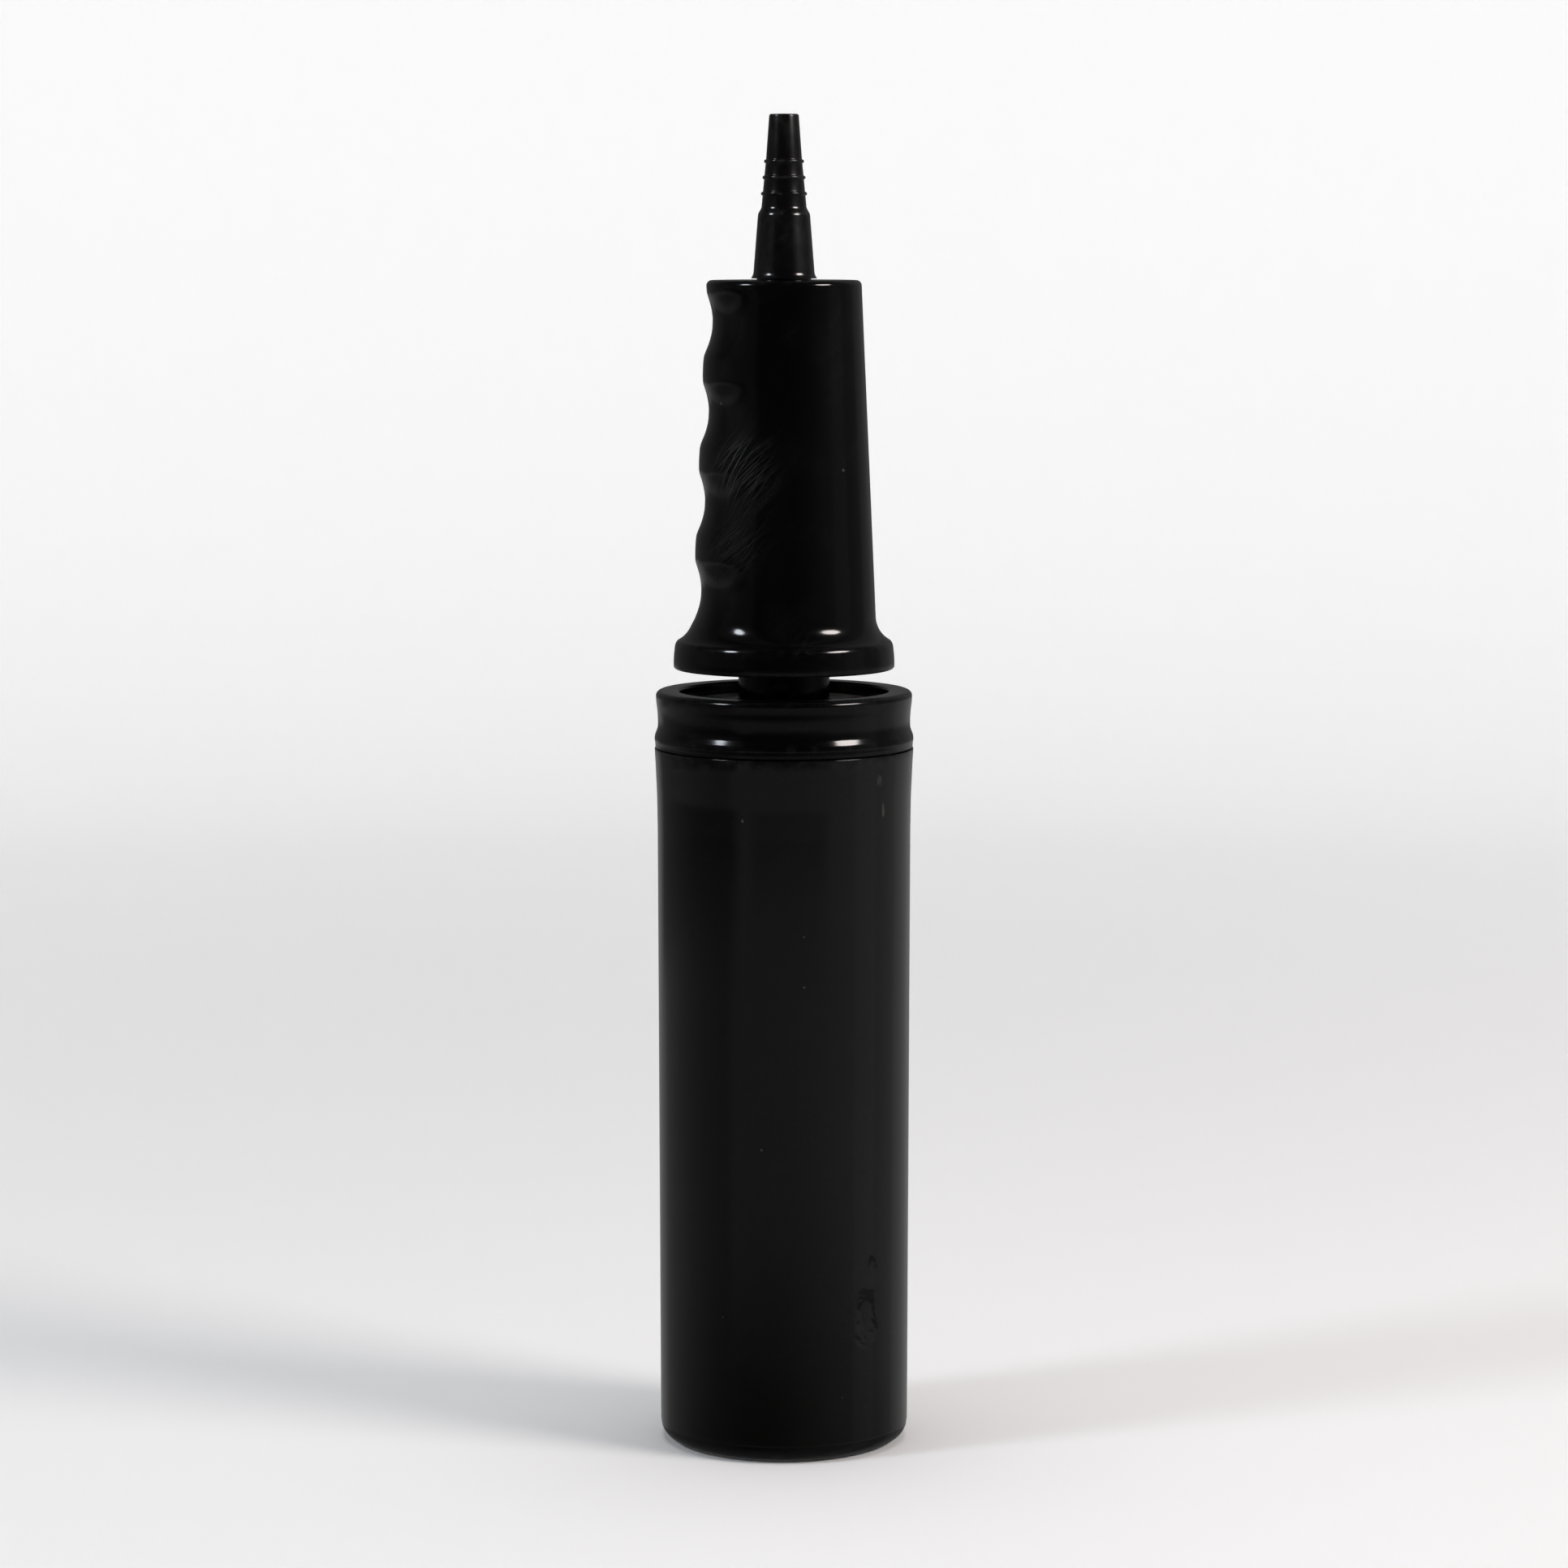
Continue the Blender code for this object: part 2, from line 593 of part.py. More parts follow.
def build_nozzle(plastic, rubber):
    """Tapered nozzle with a shoulder and thin rings, its spigot in the grip, and the spigot's seal."""
    base = GRIP_TOP + GAP
    groove_bottom, groove_top = SPIGOT_GROOVE
    rings = []
    for height in reversed(NOZZLE_RINGS):
        for offset in (NOZZLE_RING_HALF, NOZZLE_RING_CREST, -NOZZLE_RING_CREST, -NOZZLE_RING_HALF):
            level = height + offset
            proud = NOZZLE_RING_PROUD if abs(offset) == NOZZLE_RING_CREST else 0
            rings.append((neck_radius(level) + proud, level))
    outline = [
        (NOZZLE_BORE, NOZZLE_TIP),
        (NOZZLE_TIP_RADIUS - NOZZLE_TIP_EDGE, NOZZLE_TIP),
        (NOZZLE_TIP_RADIUS, NOZZLE_TIP - NOZZLE_TIP_EDGE),
        NOZZLE_SLIM,
        *rings,
        NOZZLE_NECK,
        NOZZLE_SHOULDER,
        (NOZZLE_BASE_RADIUS, base + NOZZLE_FLARE_HEIGHT),
        (NOZZLE_FLARE_RADIUS, base),
        (SPIGOT_RADIUS, base),
        (SPIGOT_RADIUS, groove_top),
        (SPIGOT_GROOVE_RADIUS, groove_top),
        (SPIGOT_GROOVE_RADIUS, groove_bottom),
        (SPIGOT_RADIUS, groove_bottom),
        (SPIGOT_RADIUS, GRIP_BOSS_BOTTOM),
        (NOZZLE_BORE, GRIP_BOSS_BOTTOM),
    ]
    turn("nozzle", outline, THIN_FACETS, plastic)
    seal_radius = SPIGOT_GROOVE_RADIUS + GAP / 2 + SPIGOT_SEAL_SECTION
    seal_height = (groove_bottom + groove_top) / 2
    outline = round_section(seal_radius, seal_height, SPIGOT_SEAL_SECTION)
    turn("nozzle_seal", outline, THIN_FACETS, rubber)


def main():
    """Build every piece of the pump."""
    barrel_plastic = make_material("satin_charcoal_plastic", 0.016, 0.42)
    handle_plastic = make_material("gloss_black_plastic", 0.008, 0.25)
    inner_plastic = make_material("grey_inner_plastic", 0.08, 0.45)
    rubber = make_material("black_rubber", 0.02, 0.7)
    build_barrel(barrel_plastic)
    build_foot_valve(rubber, inner_plastic)
    build_collar(handle_plastic, rubber)
    build_rod_guide(inner_plastic, rubber)
    build_piston(inner_plastic, rubber)
    build_rod(handle_plastic)
    build_handle(handle_plastic, inner_plastic)
    build_valve_block(inner_plastic, rubber)
    build_nozzle(handle_plastic, rubber)
    for piece in PARTS.objects:
        settle(piece)


main()
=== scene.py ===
"""A two-way hand pump for balls, dressed and set on a pale studio sweep."""
import json
import math

import bmesh
import bpy
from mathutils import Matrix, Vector


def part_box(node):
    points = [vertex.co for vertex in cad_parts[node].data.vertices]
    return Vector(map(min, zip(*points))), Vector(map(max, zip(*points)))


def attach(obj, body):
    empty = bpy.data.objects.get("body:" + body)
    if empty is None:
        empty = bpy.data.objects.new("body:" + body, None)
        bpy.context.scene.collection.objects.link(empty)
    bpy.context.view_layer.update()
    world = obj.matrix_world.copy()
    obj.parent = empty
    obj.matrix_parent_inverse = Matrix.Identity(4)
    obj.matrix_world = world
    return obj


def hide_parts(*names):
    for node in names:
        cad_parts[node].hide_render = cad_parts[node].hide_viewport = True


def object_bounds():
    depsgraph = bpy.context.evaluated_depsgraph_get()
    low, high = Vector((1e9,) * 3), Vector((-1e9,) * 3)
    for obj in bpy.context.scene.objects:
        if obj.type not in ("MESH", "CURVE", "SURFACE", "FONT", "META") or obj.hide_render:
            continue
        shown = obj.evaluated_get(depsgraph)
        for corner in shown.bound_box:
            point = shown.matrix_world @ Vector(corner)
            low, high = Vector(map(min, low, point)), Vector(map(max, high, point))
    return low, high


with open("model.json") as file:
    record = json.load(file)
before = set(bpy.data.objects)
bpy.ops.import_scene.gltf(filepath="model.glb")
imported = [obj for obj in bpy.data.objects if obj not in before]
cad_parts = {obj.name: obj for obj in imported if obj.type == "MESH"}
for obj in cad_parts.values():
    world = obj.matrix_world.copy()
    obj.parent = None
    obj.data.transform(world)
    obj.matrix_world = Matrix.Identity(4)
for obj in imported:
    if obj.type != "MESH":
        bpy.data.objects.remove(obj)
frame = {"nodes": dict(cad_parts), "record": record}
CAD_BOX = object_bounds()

bl_info = {
    "name": "Ball Pump",
    "version": (1, 0, 0),
    "blender": (4, 5, 0),
    "location": "View3D > Sidebar > Ball Pump",
    "description": "Builds a two-way hand pump for balls and the studio it stands in",
    "category": "Object",
}

MM = 0.001
MICRON = 0.000001
MERGE = 1.0 * MICRON
NEAR = 10.0 * MICRON
FINE_STEPS = 160
THIN_STEPS = 96
HOLE_FACETS = 32
CORNER_SEGMENTS = 6
SMOOTH_ANGLE = math.radians(32)
OVERSHOOT = 0.002
WEAR_ATTRIBUTE = "edge_wear"
RUB_ATTRIBUTE = "hand_rub"
FILM_ATTRIBUTE = "dust_film"
GROOVE_GROUP = "finger_grooves"
GRAIN_SCALE = 2400.0
WHITE = (1.0, 1.0, 1.0, 1.0)

# Roundings of plain corners
FAINT_ROUND = 0.1 * MM
CRISP_ROUND = 0.15 * MM
FINE_ROUND = 0.2 * MM
EASED_ROUND = 0.3 * MM
SOFT_ROUND = 0.4 * MM
FULL_ROUND = 0.5 * MM

# Places on the solids
BARREL_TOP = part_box("barrel")[1].z
BARREL_TOP_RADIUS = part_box("barrel")[1].x
BEAD_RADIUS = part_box("collar_cap")[1].x
COLLAR_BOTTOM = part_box("collar_cap")[0].z
RIM_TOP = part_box("collar_cap")[1].z
GUIDE_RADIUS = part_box("rod_guide")[1].x
GUIDE_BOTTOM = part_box("rod_guide")[0].z
GUIDE_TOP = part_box("rod_guide")[1].z
ROD_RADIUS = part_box("rod_tube")[1].x
ROD_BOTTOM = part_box("rod_tube")[0].z
ROD_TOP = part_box("rod_tube")[1].z
FLANGE_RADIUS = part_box("handle_grip")[1].x
FLANGE_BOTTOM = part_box("handle_grip")[0].z
GRIP_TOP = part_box("handle_grip")[1].z
BASE_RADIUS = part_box("handle_base")[1].x
BASE_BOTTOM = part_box("handle_base")[0].z
BASE_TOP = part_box("handle_base")[1].z
SPIGOT_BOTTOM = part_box("nozzle")[0].z
NOZZLE_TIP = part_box("nozzle")[1].z


def length(name, description, millimetres):
    """A size, given in millimetres."""
    return bpy.props.FloatProperty(name=name, description=description, default=millimetres * MM, min=0.0,
                                   precision=5, subtype="DISTANCE", unit="LENGTH")


def share(name, description, default):
    """A share from nought to one."""
    return bpy.props.FloatProperty(name=name, description=description, default=default, min=0.0, max=1.0,
                                   subtype="FACTOR")


def watts(name, description, default):
    """The power of a lamp."""
    return bpy.props.FloatProperty(name=name, description=description, default=default, min=0.0,
                                   subtype="POWER", unit="POWER")


def angle(name, description, degrees):
    """An angle, given in degrees."""
    return bpy.props.FloatProperty(name=name, description=description, default=math.radians(degrees),
                                   subtype="ANGLE", unit="ROTATION")


def colour(name, description, default):
    """A colour as the surface is painted."""
    return bpy.props.FloatVectorProperty(name=name, description=description, default=default, size=3,
                                         min=0.0, max=1.0, subtype="COLOR")


def count(name, description, default):
    """A whole number of like things."""
    return bpy.props.IntProperty(name=name, description=description, default=default, min=1)


class PumpBarrelSizes(bpy.types.PropertyGroup):
    """Sizes of the barrel."""
    foot_radius: length("Foot radius", "Outer radius just above the foot", 24.05)
    draft_radius: length("Draft radius", "Outer radius where the flare starts", 24.37)
    draft_height: length("Flare start", "Height where the flare starts", 122.4)
    flare_radius: length("Flare radius", "Outer radius half way up the flare", 24.56)
    flare_height: length("Flare middle", "Height of the middle of the flare", 129.0)
    foot_round: length("Foot rounding", "Radius of the rounded foot", 3.0)
    foot_line: length("Foot line", "Step of the fine line above the rounded foot", 0.07)
    ring_inner: length("Foot ring", "Inner radius of the ring that it stands on", 17.5)
    recess: length("Underside recess", "Height of the recessed underside", 2.5)
    floor: length("Floor", "Height of the floor inside", 5.0)
    bore: length("Bore", "Radius of the bore", 22.3)
    mouth: length("Mouth", "Radius of the wider mouth", 23.0)
    mouth_bottom: length("Mouth bottom", "Height where the mouth starts", 123.0)
    holes: count("Intake holes", "Number of intake holes in the underside", 4)
    hole_radius: length("Intake hole radius", "Radius of one intake hole", 1.3)
    hole_pitch: length("Intake hole pitch", "Radius of the circle of intake holes", 4.5)


class PumpCollarSizes(bpy.types.PropertyGroup):
    """Sizes of the collar and of the rod guide inside it."""
    rim_radius: length("Rim radius", "Outer radius of the rim", 24.65)
    rim_round: length("Rim rounding", "Rounding of the rim's outer edge", 1.0)
    rim_drop: length("Rim drop", "How far the rim stays below the solid's top", 0.25)
    waist_radius: length("Waist radius", "Radius of the waist under the rim", 24.22)
    waist_height: length("Waist height", "Height of the waist", 141.3)
    bead_top: length("Bead top", "Height where the bead leaves the waist", 138.9)
    bead_top_radius: length("Bead top radius", "Radius where the bead leaves the waist", 24.28)
    bead_height: length("Bead height", "Height of the bead's widest line", 137.1)
    bead_round: length("Bead rounding", "Rounding of the bead's widest line", 0.7)
    bead_bottom: length("Bead bottom", "Height of the bead's lower edge", 135.9)
    seam: length("Seam", "Gap between the collar and the barrel", 0.3)
    seam_radius: length("Seam radius", "Radius of the collar's lower edge at the seam", 24.76)
    opening: length("Opening", "Radius of the opening in the rim", 20.1)
    ledge: length("Ledge", "Height of the ledge that carries the guide", 141.5)
    inner: length("Inner radius", "Radius inside the skirt", 18.9)
    skirt: length("Skirt radius", "Outer radius of the skirt in the barrel", 22.7)
    groove_low: length("Seal groove bottom", "Height of the seal groove's lower side", 126.4)
    groove_high: length("Seal groove top", "Height of the seal groove's upper side", 129.0)
    groove_radius: length("Seal groove radius", "Radius of the seal groove's floor", 21.2)
    guide_hole: length("Guide hole", "Radius of the hole that the rod runs in", 9.1)
    guide_lip: length("Guide lip", "Outer radius of the raised lip round the rod", 10.6)
    guide_lip_rise: length("Guide lip rise", "Rise of the lip above the plate", 0.5)
    guide_plate: length("Guide plate", "Thickness of the guide plate", 2.0)
    guide_hub: length("Guide hub", "Outer radius of the hub under the plate", 12.2)
    guide_seal: length("Guide seal seat", "Radius of the seat for the rod's seal", 11.0)
    guide_seal_top: length("Guide seal top", "Height of the top of that seat", 134.0)
    holes: count("Air holes", "Number of air holes in the guide plate", 6)
    hole_radius: length("Air hole radius", "Radius of one air hole", 1.5)
    hole_pitch: length("Air hole pitch", "Radius of the circle of air holes", 15.5)


class PumpHandleSizes(bpy.types.PropertyGroup):
    """Sizes of the grip, its base plate and the rod."""
    foot_radius: length("Grip foot radius", "Radius of the grip above the cove", 17.6)
    foot_height: length("Grip foot", "Height where the grip's cone starts", 160.4)
    cove_round: length("Cove rounding", "Radius of the cove between grip and flange", 5.4)
    cove_sweep: angle("Cove sweep", "Angle that the cove turns through", 62.0)
    shoulder_radius: length("Flange shoulder radius", "Radius of the flange's upper edge", 20.9)
    shoulder_height: length("Flange shoulder", "Height of the flange's upper edge", 155.1)
    shoulder_round: length("Flange rounding", "Rounding of the flange's upper edge", 0.5)
    draft_height: length("Flange draft", "Height where the flange's side turns upright", 152.4)
    flange_lift: length("Flange lift", "How far the flange stays above the solid's underside", 0.4)
    top_radius: length("Grip top radius", "Radius of the grip at its top", 14.76)
    top_round: length("Grip top rounding", "Rounding of the grip's top edge", 1.0)
    bore: length("Grip bore", "Radius inside the grip", 11.6)
    ceiling: length("Grip ceiling", "Height of the underside of the grip's top", 221.5)
    boss: length("Boss radius", "Radius of the boss that holds the nozzle", 9.0)
    nozzle_hole: length("Nozzle hole", "Radius of the hole for the nozzle", 5.5)
    recess_radius: length("Base recess", "Radius of the recess for the base plate", 18.8)
    recess_top: length("Base recess top", "Height of the top of that recess", 152.5)
    grooves: count("Finger grooves", "Number of finger grooves", 4)
    groove_first: length("First groove", "Height of the lowest groove", 164.9)
    groove_pitch: length("Groove pitch", "Distance from groove to groove", 17.07)
    groove_width: length("Groove width", "Width of one groove", 11.8)
    groove_depth: length("Groove depth", "Depth of one groove", 1.5)
    groove_full: angle("Groove reach", "Angle from the finger side with full depth", 38.0)
    groove_end: angle("Groove end", "Angle from the finger side where a groove ends", 72.0)
    base_plate_top: length("Base plate top", "Height of the base plate's upper face", 152.2)
    base_sleeve: length("Base sleeve", "Outer radius of the sleeve on the base plate", 11.3)
    base_hole: length("Base hole", "Radius of the hole for the rod", 9.05)
    rod_inner: length("Rod bore", "Radius inside the hollow rod", 7.3)
    port_height: length("Rod port height", "Height of the air ports in the rod", 28.5)
    port_radius: length("Rod port radius", "Radius of one air port", 1.4)
    ports: count("Rod ports", "Number of air ports in the rod", 4)


class PumpNozzleSizes(bpy.types.PropertyGroup):
    """Sizes of the nozzle."""
    flare_radius: length("Flare radius", "Radius of the flared foot on the grip", 6.25)
    base_radius: length("Base radius", "Radius of the lower cone at its foot", 5.85)
    shoulder_radius: length("Shoulder radius", "Radius of the lower cone at its shoulder", 4.95)
    shoulder_height: length("Shoulder height", "Height of the shoulder", 236.9)
    neck_radius: length("Neck radius", "Radius of the neck above the shoulder", 4.3)
    neck_height: length("Neck height", "Height where the neck starts", 238.0)
    slim_radius: length("Slim radius", "Radius of the neck above its rings", 3.4)
    slim_height: length("Slim height", "Height of the neck's upper end", 247.4)
    tip_radius: length("Tip radius", "Radius at the tip", 2.8)
    bore: length("Air bore", "Radius of the air bore", 1.6)
    rings: count("Rings", "Number of thin rings on the neck", 3)
    ring_first: length("First ring", "Height of the lowest ring", 240.7)
    ring_pitch: length("Ring pitch", "Distance from ring to ring", 3.05)
    ring_half: length("Ring half height", "Half the height of a ring", 0.38)
    ring_proud: length("Ring rise", "Rise of a ring above the neck", 0.34)
    spigot: length("Spigot radius", "Radius of the spigot in the grip", 5.2)
    groove_low: length("Spigot groove bottom", "Height of the seal groove's lower side", 215.4)
    groove_high: length("Spigot groove top", "Height of the seal groove's upper side", 217.2)
    groove_radius: length("Spigot groove radius", "Radius of the seal groove's floor", 4.1)


class PumpFinish(bpy.types.PropertyGroup):
    """Colours and gloss of the pump's plastics and rubber."""
    barrel_colour: colour("Barrel", "Satin charcoal of the barrel", (0.0016, 0.0016, 0.0015))
    barrel_roughness: share("Barrel roughness", "Roughness of the barrel", 0.11)
    gloss_colour: colour("Handle", "Deep black of the handle and the collar", (0.0009, 0.0008, 0.0009))
    gloss_roughness: share("Handle roughness", "Roughness of the handle and the collar", 0.13)
    nozzle_colour: colour("Nozzle", "Black of the nozzle", (0.002, 0.0019, 0.002))
    nozzle_roughness: share("Nozzle roughness", "Roughness of the nozzle", 0.17)
    rod_colour: colour("Rod", "Black of the polished rod", (0.0008, 0.0009, 0.0008))
    rod_roughness: share("Rod roughness", "Roughness of the polished rod", 0.12)
    guide_colour: colour("Rod guide", "Black of the rod guide and the base plate", (0.004, 0.004, 0.004))
    guide_roughness: share("Rod guide roughness", "Roughness of the rod guide", 0.24)
    inner_colour: colour("Inner pieces", "Grey of the inner mouldings", (0.075, 0.076, 0.078))
    inner_roughness: share("Inner roughness", "Roughness of the inner mouldings", 0.42)
    rubber_colour: colour("Seals", "Black of the rubber seals", (0.016, 0.016, 0.016))
    rubber_roughness: share("Seal roughness", "Roughness of the rubber seals", 0.62)
    wear_colour: colour("Worn edges", "Grey of rubbed plastic", (0.03, 0.03, 0.031))
    dust_colour: colour("Dust", "Colour of the dust specks", (0.08, 0.078, 0.075))
    film_colour: colour("Dust film", "Colour of the fine dust on the rod guide", (0.09, 0.088, 0.085))


class PumpStage(bpy.types.PropertyGroup):
    """Camera, lamps and sweep."""
    camera_distance: length("Camera distance", "Level distance from the pump's axis", 900.0)
    camera_height: length("Camera height", "Height of the camera above the floor", 234.0)
    lens: bpy.props.FloatProperty(name="Lens", description="Focal length of the camera", default=108.0,
                                  subtype="DISTANCE_CAMERA", unit="CAMERA")
    sweep_colour: colour("Sweep", "Pale colour of the floor and backdrop", (0.86, 0.86, 0.86))
    left_colour: colour("Left lamp", "Cool white of the left lamp", (0.86, 0.92, 1.0))
    right_colour: colour("Right lamp", "Warm white of the right lamp", (1.0, 0.93, 0.9))
    left_power: watts("Left lamp power", "Power of the left lamp", 4.2)
    right_power: watts("Right lamp power", "Power of the right lamp", 8.6)
    top_power: watts("Top lamp power", "Power of the overhead lamp", 8.0)
    room_strength: share("Room light", "Strength of the room's light behind and beside the pump", 0.1)
    dim_strength: share("Dim side", "Strength of the room's light on the camera's side", 0.012)
    backdrop_lift: share("Backdrop lift", "Brightness added to the backdrop for the camera", 0.38)
    window_strength: share("Window light", "Strength added by the room's soft windows", 0.05)
    floor_glow: share("Floor glow", "Strength of the pale floor that the plastics mirror", 0.16)


class PumpSettings(bpy.types.PropertyGroup):
    """All settings of the pump."""
    barrel: bpy.props.PointerProperty(type=PumpBarrelSizes, name="Barrel", description="Barrel sizes")
    collar: bpy.props.PointerProperty(type=PumpCollarSizes, name="Collar", description="Collar sizes")
    handle: bpy.props.PointerProperty(type=PumpHandleSizes, name="Handle", description="Handle sizes")
    nozzle: bpy.props.PointerProperty(type=PumpNozzleSizes, name="Nozzle", description="Nozzle sizes")
    finish: bpy.props.PointerProperty(type=PumpFinish, name="Finish", description="Colours and gloss")
    stage: bpy.props.PointerProperty(type=PumpStage, name="Stage", description="Camera, lamps and sweep")


# Modelling

def deselect_everything():
    """Leave no object selected."""
    bpy.ops.object.select_all(action="DESELECT")


def arc(centre_radius, centre_height, radius, start, end, segments):
    """Outline corners along an arc, angles in degrees, 0 outwards and 90 upwards."""
    corners = []
    for step in range(segments + 1):
        turn = math.radians(start + (end - start) * step / segments)
        corners.append((centre_radius + radius * math.cos(turn), centre_height + radius * math.sin(turn)))
    return corners


def start_outline(name):
    """Add a small plane at the origin and merge it to the outline's first point."""
    deselect_everything()
    bpy.ops.mesh.primitive_plane_add(size=MM, location=(0, 0, 0))
    piece = bpy.context.object
    piece.name = name
    piece.data.name = name
    bpy.ops.object.mode_set(mode="EDIT")
    bpy.ops.mesh.select_all(action="SELECT")
    bpy.ops.mesh.merge(type="CENTER")
    return piece


def select_points(piece, wanted):
    """Select the points of the edited mesh for which wanted is true."""
    bpy.ops.mesh.select_all(action="DESELECT")
    mesh = bmesh.from_edit_mesh(piece.data)
    for point in mesh.verts:
        point.select = wanted(point.co)
    mesh.select_flush(True)
    bmesh.update_edit_mesh(piece.data)


def near(radius, height):
    """A test for the outline point at a radius and a height."""
    place = Vector((radius, 0, height))
    return lambda point: (point - place).length < NEAR


def draw_outline(piece, corners, closed):
    """Extrude the first point from corner to corner; a third number rounds a corner."""
    first = corners[0]
    bpy.ops.transform.translate(value=(first[0], 0, first[1]))
    stops = corners[1:] + [first] if closed else corners[1:]
    here = first
    for stop in stops:
        step = (stop[0] - here[0], 0, stop[1] - here[1])
        bpy.ops.mesh.extrude_region_move(TRANSFORM_OT_translate={"value": step})
        here = stop
    bpy.ops.mesh.select_all(action="SELECT")
    bpy.ops.mesh.remove_doubles(threshold=MERGE)
    for corner in corners:
        if len(corner) > 2:
            select_points(piece, near(*corner[:2]))
            bpy.ops.mesh.bevel(offset=corner[2], segments=CORNER_SEGMENTS, affect="VERTICES")


def divide_edge(piece, low, high, cuts):
    """Cut the outline's edge between two points into even lengths."""
    at_low = near(*low)
    at_high = near(*high)
    select_points(piece, lambda point: at_low(point) or at_high(point))
    bpy.ops.mesh.subdivide(number_cuts=cuts)


def spin_outline(piece, steps):
    """Spin the outline round the Z axis and close it."""
    bpy.ops.mesh.select_all(action="SELECT")
    bpy.ops.mesh.spin(steps=steps, angle=math.tau, center=(0, 0, 0), axis=(0, 0, 1))
    bpy.ops.mesh.select_all(action="SELECT")
    bpy.ops.mesh.remove_doubles(threshold=MERGE)
    bpy.ops.mesh.normals_make_consistent(inside=False)
    bpy.ops.object.mode_set(mode="OBJECT")


def turn_piece(name, corners, steps=FINE_STEPS, closed=True):
    """Model a turned piece from its outline."""
    piece = start_outline(name)
    draw_outline(piece, corners, closed)
    spin_outline(piece, steps)
    return piece


def smooth(piece):
    """Shade a piece smooth, with its corners kept crisp."""
    deselect_everything()
    piece.select_set(True)
    bpy.context.view_layer.objects.active = piece
    bpy.ops.object.shade_smooth_by_angle(angle=SMOOTH_ANGLE)


def apply_modifier(piece, kind, **settings):
    """Add a modifier to a piece and apply it."""
    deselect_everything()
    piece.select_set(True)
    bpy.context.view_layer.objects.active = piece
    bpy.ops.object.modifier_add(type=kind)
    modifier = piece.modifiers[-1]
    for name, value in settings.items():
        setattr(modifier, name, value)
    bpy.ops.object.modifier_apply(modifier=modifier.name)


def cut_holes(piece, places, radius, depth, turns):
    """Cut round holes with one cutter of like rods."""
    rods = []
    deselect_everything()
    for place, turn in zip(places, turns):
        bpy.ops.mesh.primitive_cylinder_add(vertices=HOLE_FACETS, radius=radius, depth=depth,
                                            location=place, rotation=turn)
        rods.append(bpy.context.object)
    for rod in rods:
        rod.select_set(True)
    bpy.ops.object.join()
    cutter = bpy.context.object
    apply_modifier(piece, "BOOLEAN", operation="DIFFERENCE", solver="EXACT", object=cutter)
    bpy.data.objects.remove(cutter)
    bpy.ops.object.mode_set(mode="EDIT")
    bpy.ops.mesh.select_all(action="SELECT")
    bpy.ops.mesh.remove_doubles(threshold=MERGE)
    bpy.ops.mesh.dissolve_degenerate(threshold=MERGE)
    bpy.ops.object.mode_set(mode="OBJECT")


def upright_holes(piece, number, pitch, radius, low, high):
    """Cut a circle of holes up through a plate."""
    places = []
    for index in range(number):
        turn = math.tau * (index + 0.5) / number
        places.append((pitch * math.cos(turn), pitch * math.sin(turn), (low + high) / 2))
    cut_holes(piece, places, radius, high - low + OVERSHOOT, [(0, 0, 0)] * number)


def paint_wear(piece, edges, reach):
    """Store how close each point is to an edge that hands and tables rub."""
    wear = piece.data.attributes.new(WEAR_ATTRIBUTE, "FLOAT", "POINT")
    for point in piece.data.vertices:
        radius = math.hypot(point.co.x, point.co.y)
        gaps = [math.hypot(radius - edge[0], point.co.z - edge[1]) for edge in edges]
        wear.data[point.index].value = math.exp(-(min(gaps) / reach) ** 2)


def paint_film(piece):
    """Store how level each point lies, because fine dust settles on level faces."""
    film = piece.data.attributes.new(FILM_ATTRIBUTE, "FLOAT", "POINT")
    for point in piece.data.vertices:
        film.data[point.index].value = max(0.0, point.normal.z)


def dress(piece, material, body, node):
    """Give a piece its material and its body, and hide the node that it stands for."""
    smooth(piece)
    piece.data.materials.clear()
    piece.data.materials.append(material)
    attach(piece, body)
    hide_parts(node)


# Materials

